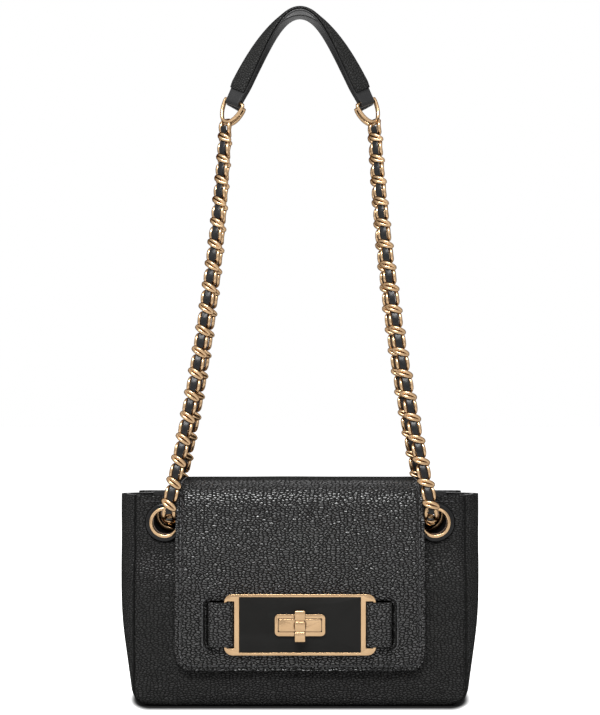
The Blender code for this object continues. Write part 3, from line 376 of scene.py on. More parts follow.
threadBlack = plainFinish(
    "threadBlack", "smooth_leather", scale=2400.0, amount=0.2, roughness=0.42, dark=(0.020, 0.020, 0.021),
    light=(0.065, 0.065, 0.067), bump=0.3, depth=0.0002,
)
# the rim colour is a painted dark reflection on the gold's turned-away edges
roseGold = plainFinish(
    "roseGold", "rose_gold", scale=500.0, amount=0.04, roughness=0.22, dark=(0.41, 0.265, 0.145),
    light=(0.53, 0.362, 0.21), rim=(0.10, 0.05, 0.02), rimFrom=0.28, rimTo=0.72, edgeTint=(0.3, 0.18, 0.09),
    metallic=1.0, bump=0.004, depth=0.0001,
)
blackEnamel = plainFinish(
    "blackEnamel", "black_enamel", scale=300.0, amount=0.04, roughness=0.12, dark=(0.010, 0.0098, 0.0092),
    light=(0.014, 0.0137, 0.013), specular=0.06, bump=0.02, depth=0.0001,
)
glossBlack = plainFinish(
    "glossBlack", "black_enamel", scale=300.0, amount=0.06, roughness=0.14, dark=(0.004, 0.004, 0.004),
    light=(0.008, 0.008, 0.008), specular=0.2, bump=0.03, depth=0.0001,
)
plainSteel = plainFinish(
    "plainSteel", "steel", scale=700.0, amount=0.2, roughness=0.35, dark=(0.42, 0.41, 0.40),
    light=(0.60, 0.59, 0.57), metallic=1.0, bump=0.1, depth=0.0001,
)
liningCloth = plainFinish(
    "liningCloth", "lining_cloth", scale=1500.0, amount=0.2, roughness=0.85, dark=(0.070, 0.030, 0.020),
    light=(0.12, 0.055, 0.038), specular=0.2, bump=0.6, depth=0.0003,
)
fibreBoard = plainFinish(
    "fibreBoard", None, scale=800.0, amount=0.2, roughness=0.8, dark=(0.05, 0.045, 0.04),
    light=(0.10, 0.09, 0.08), specular=0.2, bump=0.4, depth=0.0002,
)
print("materials ready")


# helpers for meshes

def addModifier(piece, kind, **settings):
    modifier = piece.modifiers.new(kind.lower(), kind)
    for name, value in settings.items():
        setattr(modifier, name, value)


def applyAll(piece):
    makeActive(piece)
    for modifier in list(piece.modifiers):
        bpy.ops.object.modifier_apply(modifier=modifier.name)


def openMesh(piece):
    makeActive(piece)
    bpy.ops.object.mode_set(mode="EDIT")
    bpy.ops.mesh.select_all(action="SELECT")


def closeMesh():
    bpy.ops.object.mode_set(mode="OBJECT")


def sealMesh(piece, merge=0.0):
    openMesh(piece)
    if merge:
        bpy.ops.mesh.remove_doubles(threshold=merge)
    bpy.ops.mesh.normals_make_consistent(inside=False)
    closeMesh()


def meshPiece(name, places, edges, faces):
    mesh = bpy.data.meshes.new(name)
    mesh.from_pydata(places, edges, faces)
    return addObject(name, mesh)


def faceOut(piece, centre):
    # turns a sheet's faces away from centre(place)
    total = 0.0
    for face in piece.data.polygons:
        total += face.normal.dot(face.center - centre(face.center)) * face.area
    if total < 0:
        piece.data.flip_normals()


def shapeGrid(name, columns, rows, place):
    # a grid primitive, every point moved to place(across 0..1, along 0..1)
    deselectAll()
    bpy.ops.mesh.primitive_grid_add(x_subdivisions=columns, y_subdivisions=rows, size=2)
    piece = bpy.context.object
    piece.name = name
    for point in piece.data.vertices:
        point.co = place((point.co.x + 1) / 2, (point.co.y + 1) / 2)
    measureSheet(piece, columns, rows)
    piece.data.update()
    return piece


def measureSheet(piece, columns, rows):
    # the sheet's texture coordinates are its own lengths, so that the grain keeps its size
    points = [point.co for point in piece.data.vertices]
    wide = columns + 1
    spots = [[0.0, 0.0] for point in points]
    for row in range(rows + 1):
        start = row * wide
        for index in range(start + 1, start + wide):
            spots[index][0] = spots[index - 1][0] + (points[index] - points[index - 1]).length
        middle = spots[start + columns // 2][0]
        for index in range(start, start + wide):
            spots[index][0] -= middle
            if row:
                spots[index][1] = spots[index - wide][1] + (points[index] - points[index - wide]).length
    layer = piece.data.uv_layers.active.data
    for corner in piece.data.loops:
        layer[corner.index].uv = spots[corner.vertex_index]


def thickenSheet(piece, thickness, edge=0.0):
    addModifier(piece, "SOLIDIFY", thickness=thickness, offset=-1, use_even_offset=True)
    if edge:
        addModifier(
            piece, "BEVEL", width=edge, segments=2, limit_method="ANGLE", angle_limit=radians(60),
        )
    applyAll(piece)


def finishPiece(piece, material, body, replaced=(), smoothAngle=40):
    piece.data.materials.clear()
    piece.data.materials.append(material)
    makeActive(piece)
    bpy.ops.object.shade_smooth_by_angle(angle=radians(smoothAngle))
    if body:
        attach(piece, body)
    if replaced:
        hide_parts(*replaced)


def joinPieces(name, parts):
    deselectAll()
    for part in parts:
        part.select_set(True)
    bpy.context.view_layer.objects.active = parts[0]
    bpy.ops.object.join()
    joined = bpy.context.object
    joined.name = name
    return joined


def cutWith(piece, cutter):
    addModifier(piece, "BOOLEAN", operation="DIFFERENCE", solver="EXACT", object=cutter)
    applyAll(piece)


def dropPiece(piece):
    bpy.data.objects.remove(piece, do_unlink=True)


def bevelledCopy(nodeName, name, width):
    # a CAD node's mesh, merged and flattened back to its faces, with softened edges
    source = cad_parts[nodeName]
    piece = source.copy()
    piece.data = source.data.copy()
    piece.name = name
    piece.parent = None
    bpy.context.scene.collection.objects.link(piece)
    piece.matrix_world = Matrix.Identity(4)
    openMesh(piece)
    bpy.ops.mesh.remove_doubles(threshold=0.005 * mm)
    bpy.ops.mesh.dissolve_limited(angle_limit=radians(1))
    closeMesh()
    for key in list(piece.keys()):
        del piece[key]
    addModifier(piece, "BEVEL", width=width, segments=3, limit_method="ANGLE", angle_limit=radians(28))
    applyAll(piece)
    return piece


def softBox(name, low, high, edge, segments=3):
    deselectAll()
    low, high = Vector(low), Vector(high)
    bpy.ops.mesh.primitive_cube_add(size=1, location=(low + high) / 2, scale=high - low)
    piece = bpy.context.object
    piece.name = name
    freeze(piece)
    if edge:
        addModifier(piece, "BEVEL", width=edge, segments=segments)
        applyAll(piece)
    return piece


def crossRod(radius, depth, place, vertices):
    # a cylinder along Y
    deselectAll()
    bpy.ops.mesh.primitive_cylinder_add(
        vertices=vertices, radius=radius, depth=depth, location=place, rotation=(quarter, 0, 0),
    )
    rod = bpy.context.object
    freeze(rod)
    return rod


def tubeAlong(name, points, radius, closed=False, sides=3):
    curve = bpy.data.curves.new(name, "CURVE")
    curve.dimensions = "3D"
    curve.bevel_depth = radius
    curve.bevel_resolution = sides
    curve.use_fill_caps = not closed
    line = curve.splines.new("POLY")
    line.points.add(len(points) - 1)
    for point, place in zip(line.points, points):
        point.co = (*place, 1)
    line.use_cyclic_u = closed
    makeActive(addObject(name, curve))
    bpy.ops.object.convert(target="MESH")
    return bpy.context.object


def arc(centre, radius, first, last, steps):
    # points round a centre, first and last in quarter turns
    return [
        (centre[0] + radius * cos(angle), centre[1] + radius * sin(angle))
        for angle in spaced(quarter * first, quarter * last, steps)
    ]


def distances(points):
    found = [0.0]
    for first, second in zip(points, points[1:]):
        found.append(found[-1] + (second - first).length)
    return found


def spotAt(points, lengths, at, index):
    # the place at a distance along a line, and the point before it
    while index < len(points) - 2 and lengths[index + 1] < at:
        index += 1
    share = (at - lengths[index]) / max(lengths[index + 1] - lengths[index], 1e-9)
    return points[index].lerp(points[index + 1], min(share, 1.0)), index


def walkAlong(points, step, start):
    # (place, number of the point before it, distance) every step along a line of points
    lengths = distances(points)
    found, index, at = [], 0, start
    while at <= lengths[-1] + 1e-7:
        place, index = spotAt(points, lengths, at, index)
        found.append((place, index, at))
        at += step
    return found


def takeShape(piece):
    # the points and faces of a modelled piece, to be laid many times
    points = [point.co.copy() for point in piece.data.vertices]
    faces = [tuple(face.vertices) for face in piece.data.polygons]
    dropPiece(piece)
    return points, faces


def layShapes(name, stations):
    # one mesh of shapes, each set down with its place and turn
    places, faces = [], []
    for (points, sides), place, turn in stations:
        start = len(places)
        places += [place + turn @ point for point in points]
        faces += [tuple(start + corner for corner in side) for side in sides]
    piece = meshPiece(name, places, [], faces)
    sealMesh(piece)
    return piece


stitch = millimetres(length=2.5, pitch=3.5, radius=0.38, sink=0.05)
stitch["rise"] = 0.35 * stitch["radius"] - stitch["sink"]


def makeThread():
    deselectAll()
    bpy.ops.mesh.primitive_cylinder_add(vertices=6, radius=stitch["radius"], depth=stitch["length"])
    thread = bpy.context.object
    addModifier(thread, "BEVEL", width=stitch["radius"] / 2, segments=1)
    applyAll(thread)
    return takeShape(thread)


threadShape = makeThread()


def stitchRow(name, line, outOf, body, pitch=stitch["pitch"]):
    # short threads laid along a line of points; outOf(place) points off the leather
    stations = []
    for place, index, at in walkAlong(line, pitch, pitch / 2):
        along = (line[index + 1] - line[index]).normalized()
        across = along.cross(outOf(place)).normalized()
        out = across.cross(along).normalized()
        turn = Matrix((across, out, along)).transposed()
        stations.append((threadShape, place + out * stitch["rise"], turn))
    finishPiece(layShapes(name, stations), threadBlack, body)


def ease(value):
    value = min(max(value, 0.0), 1.0)
    return value * value * (3 - 2 * value)


def ripple(x, z, seed=0.0):
    # slow, shallow unevenness of leather: a fixed pattern of waves
    return (
        sin(x * 61 + seed) * sin(z * 73 + seed * 1.7)
        + 0.6 * sin(x * 127 + z * 31 + seed * 2.3)
        + 0.4 * sin(z * 171 - x * 43 + seed)
    ) / 2


# body of the bag

bag = millimetres(
    panelWidth=213, height=134.5, baseDepth=72, topDepth=58, taperLow=74.5, taperHigh=103, bulge=11,
    bulgeHeight=75, corner=11, leather=2.4, footRound=3.4, gap=0.3, backDrop=1.4, fold=15, foldLow=84,
    foldRise=48, rimDrop=1.3, rimWidth=4, rippleDepth=0.35, gussetRipple=0.25, calmSide=12, calmFoot=15,
    calmMouth=8, pipe=0.6, pipeInset=0.2, rimLow=30.3, slopeLow=125, hemDrop=4, hemHalf=100,
)
bag.update(footShare=0.1, footInset=0.75, gussetInset=0.4)
# the side's fold, in shares of its half depth: its middle and spread, and how far it goes on behind
foldShares = {"middle": 0.32, "spread": 0.34, "behind": 0.3, "behindFrom": 0.2, "behindRise": 0.5}
grommet = millimetres(
    x=86.8, z=117, hole=8.5, bore=7.85, rearBore=6.9, lip=9.9, collar=13, collarSlope=1.2, collarEdge=0.5,
    collarLow=-0.2, collarHigh=1.9, eyeletLow=22.9, eyeletHigh=3.1, lipLow=1.95, washer=11, washerLow=23.9,
    washerHigh=24.8,
)


def halfDepth(z):
    share = ease((z - bag["taperLow"]) / (bag["taperHigh"] - bag["taperLow"]))
    return between(bag["baseDepth"], bag["topDepth"], share) / 2


def footInset(z):
    # the lower edges are rounded
    return roundIn(bag["footRound"], max(bag["footRound"] - z, 0.0))


def panelHalf(z, inset=0.0):
    radius = bag["corner"] - inset
    rise = min(max(bag["corner"] - z, 0.0), radius)
    return bag["panelWidth"] / 2 - inset - roundIn(radius, rise)


def sideBulge(z):
    share = between(bag["footShare"], 1, sin(quarter * min(z / bag["bulgeHeight"], 1)))
    return bag["bulge"] * share * (1 - roundIn(1, max(bag["corner"] - z, 0) / bag["corner"]))


def topHeight(y):
    # the mouth slopes down a little towards the back
    return bag["height"] - bag["backDrop"] * ease((y + bag["topDepth"] / 2) / bag["topDepth"])


def sideFold(z, share):
    # the sides fold inwards behind their front half, most at the mouth; share runs -1 to 1 from front to back
    depth = bag["fold"] * ease((z - bag["foldLow"]) / bag["foldRise"])
    crease = exp(-(((share - foldShares["middle"]) / foldShares["spread"]) ** 2))
    behind = foldShares["behind"] * ease((share - foldShares["behindFrom"]) / foldShares["behindRise"])
    return depth * (crease + behind * (1 - share * share) ** 0.5)


def panelPlace(facing):
    def place(across, along):
        z = topHeight(facing * bag["topDepth"] / 2) * along
        if z < bag["corner"]:
            z = bag["corner"] * (1 - sin(quarter * (1 - z / bag["corner"])))
        half = panelHalf(z)
        x = half * (2 * across - 1)
        inEdge = half - abs(x)
        out = halfDepth(z) - footInset(z) * bag["footInset"]
        out -= bag["rimDrop"] * ease(1 - inEdge / bag["rimWidth"])
        calm = min(
            ease(inEdge / bag["calmSide"]), ease(z / bag["calmFoot"]),
            ease((bag["height"] - z) / bag["calmMouth"]),
        )
        out += (ripple(x, z, facing) - 1.0) * bag["rippleDepth"] * calm
        return Vector((x, facing * out, z))
    return place


def buildPanels():
    for name, node, facing in (("frontLeather", "front_panel", -1), ("backLeather", "back_panel", 1)):
        piece = shapeGrid(name, 90, 70, panelPlace(facing))
        faceOut(piece, lambda place: Vector((0, 0, place.z)))
        thickenSheet(piece, bag["leather"], 0.5 * mm)
        for hole in holes:
            cutWith(piece, hole)
        finishPiece(piece, bodyLeather, "bag_body", [node])


def gussetPlace(side):
    def place(across, along):
        # along runs from the mouth down the side and round the foot's corner
        angle = pi * (across - 0.5)
        top = topHeight(bag["topDepth"] / 2 * sin(angle))
        straight = top - bag["corner"]
        run = along * (straight + bag["corner"] * quarter)
        z, seam = top - run, bag["panelWidth"] / 2
        if run > straight:
            turn = (run - straight) / bag["corner"]
            z = bag["corner"] * (1 - sin(turn))
            seam -= bag["corner"] * (1 - cos(turn))
        reach = halfDepth(z) - bag["leather"] * bag["gussetInset"] - footInset(z) * bag["footInset"]
        swell = sideBulge(z) * cos(angle) - sideFold(z, sin(angle))
        swell += ripple(angle * 0.02, z, 5) * bag["gussetRipple"]
        return Vector((side * (seam + swell), reach * sin(angle), z))
    return place


def buildGussets():
    for sideName, side in leftRight:
        piece = shapeGrid(sideName + "GussetLeather", 36, 80, gussetPlace(side))
        faceOut(piece, lambda place: Vector((0, 0, 60 * mm)))
        thickenSheet(piece, bag["leather"] * 0.8, 0.4 * mm)
        finishPiece(piece, bodyLeather, "bag_body", [sideName + "_gusset"])


def buildBase():
    half = bag["panelWidth"] / 2 - bag["corner"] + 2 * mm
    depth = bag["baseDepth"] / 2 - bag["footRound"] * bag["footInset"] + 1 * mm
    piece = softBox("baseLeather", (-half, -depth, 0), (half, depth, bag["leather"]), 0.8 * mm)
    layer = piece.data.uv_layers.active.data
    for corner in piece.data.loops:
        layer[corner.index].uv = piece.data.vertices[corner.vertex_index].co.xy
    finishPiece(piece, bodyLeather, "bag_body", ["base_panel"])


def seamLine(side, facing):
    points = []
    for along in spaced(0, 1, 60):
        x, y, z = gussetPlace(side)((facing + 1) / 2, along)
        points.append(Vector((x - side * bag["pipeInset"], y, max(z, bag["pipe"]))))
    return points


def buildPiping():
    tubes = [
        tubeAlong("piping", seamLine(side, facing), bag["pipe"]) for side in (-1, 1) for facing in (-1, 1)
    ]
    finishPiece(joinPieces("sidePiping", tubes), bodyLeather, "bag_body")


def wallLoop(z, inset, steps=28):
    # once round the inside of the walls
    within = bag["leather"] + bag["gap"] + inset
    seam = panelHalf(z, within) if z < bag["corner"] else bag["panelWidth"] / 2 - within
    depth, swell = halfDepth(z) - within, sideBulge(z)
    reach, corner = (size - bag["leather"] - bag["gap"] for size in (depth, seam))
    right = [(corner * share, -depth) for share in (0.0, 0.33, 0.66, 1.0)]
    for angle in spaced(-quarter, quarter, steps):
        x = seam + swell * cos(angle) - sideFold(z, sin(angle))
        right.append((x, reach * sin(angle)))
    right += [(corner * share, depth) for share in (1.0, 0.66, 0.33)]
    loop = right + [(-x, y) for x, y in [(0.0, depth)] + right[:0:-1]]
    if z <= bag["slopeLow"]:
        return [Vector((x, y, z)) for x, y in loop]
    # near the mouth the loop follows its slope
    drop = 0.2 * (bag["height"] - z)
    return [Vector((x, y, min(z, topHeight(y) - drop))) for x, y in loop]


def loopShell(name, rings, fillLast):
    # rings of points bridged into a shell by faces set one by one
    count = len(rings[0])
    faces = []
    for row in range(0, (len(rings) - 1) * count, count):
        for index in range(count):
            after = (index + 1) % count
            faces.append((row + index, row + after, row + count + after, row + count + index))
    if fillLast:
        faces.append(tuple(range((len(rings) - 1) * count, len(rings) * count)))
    piece = meshPiece(name, [place for ring in rings for place in ring], [], faces)
    faceOut(piece, lambda place: Vector((0, 0, place.z)))
    return piece


def buildInside():
    rimLow = bag["height"] - bag["rimLow"]
    heights = [rimLow] + [z * mm for z in (100, 94, 88, 82, 74, 50, 25, 11, 7.5, 4.9)]
    lining = loopShell("liningBag", [wallLoop(z, 0.1 * mm) for z in heights], True)
    thickenSheet(lining, 0.8 * mm)
    finishPiece(lining, liningCloth, "bag_body", ["lining"])
    heights = (bag["height"] - 0.2 * mm, 125 * mm, 115 * mm, rimLow + bag["gap"])
    facing = loopShell("mouthFacing", [wallLoop(z, 0.05 * mm) for z in heights], False)
    thickenSheet(facing, 1.1 * mm, 0.3 * mm)
    for hole in holes:
        cutWith(facing, hole)
    finishPiece(facing, smoothLeather, "bag_body", ["top_facing"])
    pocket = softBox("insidePocket", *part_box("slip_pocket"), 0.35 * mm, 2)
    finishPiece(pocket, liningCloth, "bag_body", ["slip_pocket"])


def buildBodyStitches():
    z = bag["height"] - bag["hemDrop"]
    for name, facing in (("frontHemStitches", -1), ("backHemStitches", 1)):
        line = [
            panelPlace(facing)((x / panelHalf(z) + 1) / 2, z / bag["height"])
            for x in spaced(-bag["hemHalf"], bag["hemHalf"], 60)
        ]
        stitchRow(name, line, lambda place, facing=facing: Vector((0, facing, 0)), "bag_body")


holes = [
    crossRod(grommet["hole"], 0.2, (side * grommet["x"], 0, grommet["z"]), vertices=48) for side in (-1, 1)
]
buildPanels()
buildGussets()
buildBase()
buildPiping()
buildInside()
buildBodyStitches()
for hole in holes:
    dropPiece(hole)
print("body ready")


# grommets

def turnedPiece(name, profile, centre, facing, steps=64):
    # profile holds (radius, distance out from the bag's middle), turned about the hole's axis
    x, z = centre
    places = [(x + radius, facing * out, z) for radius, out in profile]
    edges = [(index, (index + 1) % len(places)) for index in range(len(places))]
    piece = meshPiece(name, places, edges, [])
    openMesh(piece)
    bpy.ops.mesh.spin(steps=steps, angle=2 * pi, center=(x, 0, z), axis=(0, 1, 0))
    closeMesh()
    sealMesh(piece, 0.01 * mm)
    return piece


def roundProfile(points, radius, steps=4):
    # cuts the corners of a closed profile with small arcs
    result = []
    for index, point in enumerate(points):
        here = Vector(point)
        before, after = Vector(points[index - 1]) - here, Vector(points[(index + 1) % len(points)]) - here
        cut = min(radius, before.length * 0.45, after.length * 0.45)
        first, last = here + before.normalized() * cut, here + after.normalized() * cut
        for t in spaced(0, 1, steps):
            result.append(tuple(first * (1 - t) ** 2 + here * 2 * t * (1 - t) + last * t * t))
    return result


def collarProfile():
    inner, outer = grommet["hole"] - 0.1 * mm, grommet["collar"]
    low, high = (bag["topDepth"] / 2 + grommet[name] for name in ("collarLow", "collarHigh"))
    return roundProfile([
        (inner, low), (inner, high), (outer - grommet["collarSlope"], high),
        (outer, low + grommet["collarEdge"]), (outer, low),
    ], 0.9 * mm)


def eyeletProfile(facing):
    # the rear eyelets are a little narrower inside
    bore = grommet["bore"] if facing < 0 else grommet["rearBore"]
    tube, lip, low = bore + 0.5 * mm, grommet["lip"], grommet["eyeletLow"]
    high, lipLow = (bag["topDepth"] / 2 + grommet[name] for name in ("eyeletHigh", "lipLow"))
    return roundProfile([
        (bore, low), (bore, high - 0.3 * mm), (bore + 0.8 * mm, high), (lip, high - 0.5 * mm), (lip, lipLow),
        (tube, lipLow), (tube, low),
    ], 0.5 * mm)


def washerProfile():
    inner, outer = grommet["hole"], grommet["washer"]
    low, high = grommet["washerLow"], grommet["washerHigh"]
    return roundProfile([(inner, low), (inner, high), (outer, high), (outer, low)], 0.25 * mm, 2)


def buildGrommets():
    for node, label, face, facing, side in corners:
        for part, profile, material in (
            ("collar", collarProfile(), glossBlack), ("eyelet", eyeletProfile(facing), roseGold),
            ("washer", washerProfile(), roseGold),
        ):
            piece = turnedPiece(label + part.title(), profile, (side * grommet["x"], grommet["z"]), facing)
            finishPiece(piece, material, "bag_body", [f"{node}_{part}"], 60)


buildGrommets()
print("grommets ready")


# flap

flap = millimetres(
    width=159.2, top=143.6, bottom=23.6, corner=11, thickness=2.9, lining=0.9, rollHeight=18, rollDepth=16,
    backRoll=14, standLow=2.4, standHigh=3.4, taperDrop=2.5, hinge=(30.3, 135.6), anchorFoot=103.5,
    anchorHalf=72.3, stitchInset=3.2, slot=(27.8, 8.6), plateCentre=53.4, crown=0.6, groove=0.5,
    grooveWidth=0.7, ripple=0.12, recess=(40.5, 59.7), recessHalf=15.2, recessDepth=1.6, recessRound=4,
    stripStitches=3.5, upperStitches=24, blend=9,
)
flap.update(hang=1.25, rows=400)


def flapFront(z):
    # hangs nearly straight from its roll down to the fuller part of the bag
    low = bag["taperLow"] - flap["taperDrop"]
    share = min(max((z - low) / (flap["top"] - flap["rollHeight"] - low), 0.0), 1.0) ** flap["hang"]
    depth = between(bag["baseDepth"], bag["topDepth"], share)
    return -(depth / 2 + between(flap["standLow"], flap["standHigh"], share) + flap["thickness"])


def flapProfile():
    # down the flap's outer face, from the foot of its strip on the back panel
    hingeY, hingeZ = flap["hinge"]
    top, roll, depth = flap["top"], flap["backRoll"], flap["rollDepth"]
    out = hingeY + flap["lining"]
    foot = top - flap["rollHeight"]
    front = flapFront(foot)
    line = [(out, z) for z in spaced(flap["anchorFoot"], hingeZ, 10)[:-1]]
    for angle in spaced(0, quarter, 12):
        line.append((out - roll * (1 - cos(angle)), hingeZ + (top - hingeZ) * sin(angle)))
    line += [(y, top) for y in spaced(out - roll, front + depth, 12)[1:-1]]
    for angle in spaced(quarter, 0, 14):
        line.append((front + depth * (1 - cos(angle)), foot + (top - foot) * sin(angle)))
    line += [(flapFront(z), z) for z in spaced(foot, flap["bottom"], 60)[1:]]
    return [Vector((0, y, z)) for y, z in line]


def resample(points, count):
    lengths = distances(points)
    found, index = [], 0
    for at in spaced(0, lengths[-1], count):
        place, index = spotAt(points, lengths, at, index)
        found.append(place)
    return found, lengths[-1]


flapLine, flapLength = resample(flapProfile(), flap["rows"])


def flapHalf(run):
    # half the width at a distance along the flap: narrow on its strip, with round lower corners
    left = flapLength - run
    strip = flap["hinge"][1] - flap["anchorFoot"]
    half = flap["width"] / 2
    if run < strip + 4 * mm:
        half = between(flap["anchorHalf"], half, ease((run - strip + 1 * mm) / (5 * mm)))
    return half - roundIn(flap["corner"], max(flap["corner"] - left, 0.0))


def flapOut(first, last):
    # points off the leather between two rows of the flap
    ahead = (flapLine[min(last, flap["rows"])] - flapLine[max(first, 0)]).normalized()
    return Vector((0, ahead.z, -ahead.y))


def flapPoint(run, x):
    at = min(max(run / flapLength, 0.0), 1.0) * flap["rows"]
    index = min(int(at), flap["rows"] - 1)
    place = flapLine[index].lerp(flapLine[index + 1], at - index)
    # the leather swells a little between its stitched edges
    inEdge = min(flapHalf(run) - abs(x), flapLength - run + 2 * mm)
    swell = flap["crown"] * ease((inEdge - 2.2 * mm) / (3.5 * mm))
    if place.y > 0.0:
        swell *= 0.3
    groove = flap["groove"] * exp(-((inEdge - flap["stitchInset"]) / flap["grooveWidth"]) ** 2)
    rise = swell - groove + ripple(x, place.z, 2.0) * flap["ripple"] - flap["crown"]
    return Vector((x, place.y, place.z)) + flapOut(index - 1, index + 2) * rise


def flapPlace(across, along):
    # rows crowd towards the free edge so that the round corners stay smooth
    run = flapLength * (1 - (1 - along) ** 1.25)
    half = flapHalf(min(run, flapLength - 0.05 * mm))
    spread = 2 * across - 1
    return flapPoint(run, copysign(half * (1 - (1 - abs(spread)) ** 1.3), spread))


def recessCutter(side):
    # a shallow recess round the tab, inside its stitched rim
    middle, tall = flap["plateCentre"], flap["recessHalf"]
    inner, outer = sorted(side * end for end in flap["recess"])
    back = flapFront(middle) + flap["recessDepth"]
    recess = softBox("recessCutter", (inner, -60 * mm, middle - tall), (outer, back, middle + tall), 0.0)
    openMesh(recess)
    bpy.ops.mesh.select_mode(type="EDGE")
    bpy.ops.mesh.select_all(action="DESELECT")
    closeMesh()
    for edge in recess.data.edges:
        first, second = (recess.data.vertices[index].co for index in edge.vertices)
        edge.select = abs(first.y - second.y) > 5 * mm
    bpy.ops.object.mode_set(mode="EDIT")
    bpy.ops.mesh.bevel(offset=flap["recessRound"], segments=5, affect="EDGES")
    closeMesh()
    return recess


def buildFlap():
    piece = shapeGrid("flapLeather", 110, 150, flapPlace)
    faceOut(piece, lambda place: Vector((place.x, 0, 100 * mm)))
    thickenSheet(piece, flap["thickness"] - flap["lining"], 0.55 * mm)
    halfWidth, halfHeight = (size / 2 for size in flap["slot"])
    middle = flap["plateCentre"]
    slot = softBox(
        "slotCutter", (-halfWidth, -60 * mm, middle - halfHeight), (halfWidth, -30 * mm, middle + halfHeight),
        0.5 * mm, 1,
    )
    for cutter in (slot, recessCutter(-1), recessCutter(1)):
        cutWith(piece, cutter)
        dropPiece(cutter)
    finishPiece(piece, pebbled, None, ["flap", "flap_lining", "flap_anchor"])
    y, z = flap["hinge"]
    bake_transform(piece)


def flapEdgeLine(inset):
    # runs down one side, round the foot and up the other side, inset from the edge
    start = flap["hinge"][1] - flap["anchorFoot"] + 14 * mm
    radius = flap["corner"] - inset
    foot = flapLength - inset
    half = flap["width"] / 2 - inset
    bend, inner = foot - radius, half - radius
    route = [(run, -half) for run in spaced(start, bend, 80)]
    route += arc((bend, -inner), radius, -1, 0, 12)[1:]
    route += [(foot, x) for x in spaced(-inner, inner, 60)[1:]]
    route += arc((bend, inner), radius, 0, 1, 12)[1:]
    route += [(run, half) for run in spaced(bend, start, 80)[1:]]
    return [flapPoint(run, x) for run, x in route]


def flapNormalAt(place):
    best = min(
        range(flap["rows"] + 1),
        key=lambda index: (flapLine[index].y - place.y) ** 2 + (flapLine[index].z - place.z) ** 2,
    )
    return flapOut(best - 1, best + 1)


def buildFlapStitches():
    stitchRow("flapEdgeStitches", flapEdgeLine(flap["stitchInset"]), flapNormalAt, "flap_body")
    half = flap["anchorHalf"] * 0.96
    for name, run in (
        ("flapStripStitches", flap["stripStitches"]), ("flapStripUpperStitches", flap["upperStitches"]),
    ):
        line = [flapPoint(run, x) for x in spaced(-half, half, 60)]
        stitchRow(name, line, lambda place: Vector((0, 1, 0)), "bag_body")


buildFlap()
buildFlapStitches()
print("flap ready")


# plate, tabs and turn lock

plate = millimetres(
    tabInner=42.05, tabOuter=58.55, tabHalf=14.3, tabLeather=1.4, tabTurn=2.4, tabCrown=0.35, tabSwell=0.5,
    tabSeat=0.6, rimOuter=60.9, rimHalf=16.5, rimRadius=0.8, rimCorner=4.5, rimLift=0.25,
    stitchOut=1.3, stitchPitch=2.6,
)
knob = millimetres(depth=4.2, band=3.3, groove=0.5, core=0.6, coreEnd=1, spindle=2, spindleLength=5)


def buildPlate():
    for node, name, edge, material, body in (
        ("plate_frame", "plateFrame", 0.45, roseGold, "flap_body"),
        ("enamel_panel", "enamelPanel", 0.12, blackEnamel, "flap_body"),
        ("escutcheon", "lockEscutcheon", 0.4, roseGold, "flap_body"),
        ("clasp_backing", "claspBacking", 0.1, plainSteel, "flap_body"),
        ("lock_base", "lockBase", 0.35, roseGold, "bag_body"),
        ("lock_backing", "lockBacking", 0.1, plainSteel, "bag_body"),
    ):
        finishPiece(bevelledCopy(node, name, edge * mm), material, body, [node], 35)


def tabPlace(side, front, back):
    # the tab's outer face: up out of one slit, across and down into the other, the same from either end
    inner, outer, turn = plate["tabInner"], plate["tabOuter"], plate["tabTurn"]
    rise, bend = back - front - turn, turn * quarter
    half = rise + bend + (outer - inner) / 2 - turn

    def place(across, along):
        run = half * (1 - abs(2 * along - 1))
        angle = min(max((run - rise) / turn, 0.0), quarter)
        aside = turn * (1 - cos(angle)) + max(run - rise - bend, 0.0)
        x = outer - aside if along < 0.5 else inner + aside
        y = back - min(run, rise) - turn * sin(angle)
        spread = 2 * across - 1
        z = flap["plateCentre"] + plate["tabHalf"] * spread * 0.995
        swell = sin(pi * min(max((x - inner) / (outer - inner), 0.0), 1.0))
        crown = plate["tabCrown"] * ease((1 - abs(spread)) * 3) + plate["tabSwell"] * swell
        return Vector((side * x, y - crown + plate["tabSeat"], z))
    return place


def rimLine(side):
    # the stitched rim round the end of the tab's slit
    outer, half, radius = plate["rimOuter"], plate["rimHalf"], plate["rimCorner"]
    bend, tall = outer - radius, half - radius
    points = [(bend, half)] + arc((bend, tall), radius, 1, 0, 9)[1:]
    points += [(outer, z) for z in spaced(tall, -tall, 16)[1:-1]]
    points += arc((bend, -tall), radius, 0, -1, 9)
    front = flapFront(flap["plateCentre"]) + plate["rimLift"]
    return [Vector((side * x, front, flap["plateCentre"] + z)) for x, z in points]


def buildTabs():
    for sideName, side in leftRight:
        low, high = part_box(sideName + "_tab")
        piece = shapeGrid(sideName + "TabLeather", 24, 40, tabPlace(side, low.y, high.y))
        # the grain runs along the tab
        for spot in piece.data.uv_layers.active.data:
            spot.uv = spot.uv.yx
        x, y = side * (plate["tabInner"] + plate["tabOuter"]) / 2, high.y
        faceOut(piece, lambda spot, x=x, y=y: Vector((x, y, spot.z)))
        thickenSheet(piece, plate["tabLeather"], 0.35 * mm)
        finishPiece(piece, pebbled, "flap_body", [sideName + "_tab"])
        line = rimLine(side)
        rim = tubeAlong(sideName + "TabRim", line, plate["rimRadius"], sides=4)
        finishPiece(rim, pebbled, "flap_body", smoothAngle=60)
        aside = Vector((side * plate["stitchOut"], -plate["rimLift"], 0))
        line = [spot + aside for spot in line]
        name, pitch = sideName + "TabStitches", plate["stitchPitch"]
        stitchRow(name, line, lambda spot: Vector((0, -1, 0)), "flap_body", pitch)


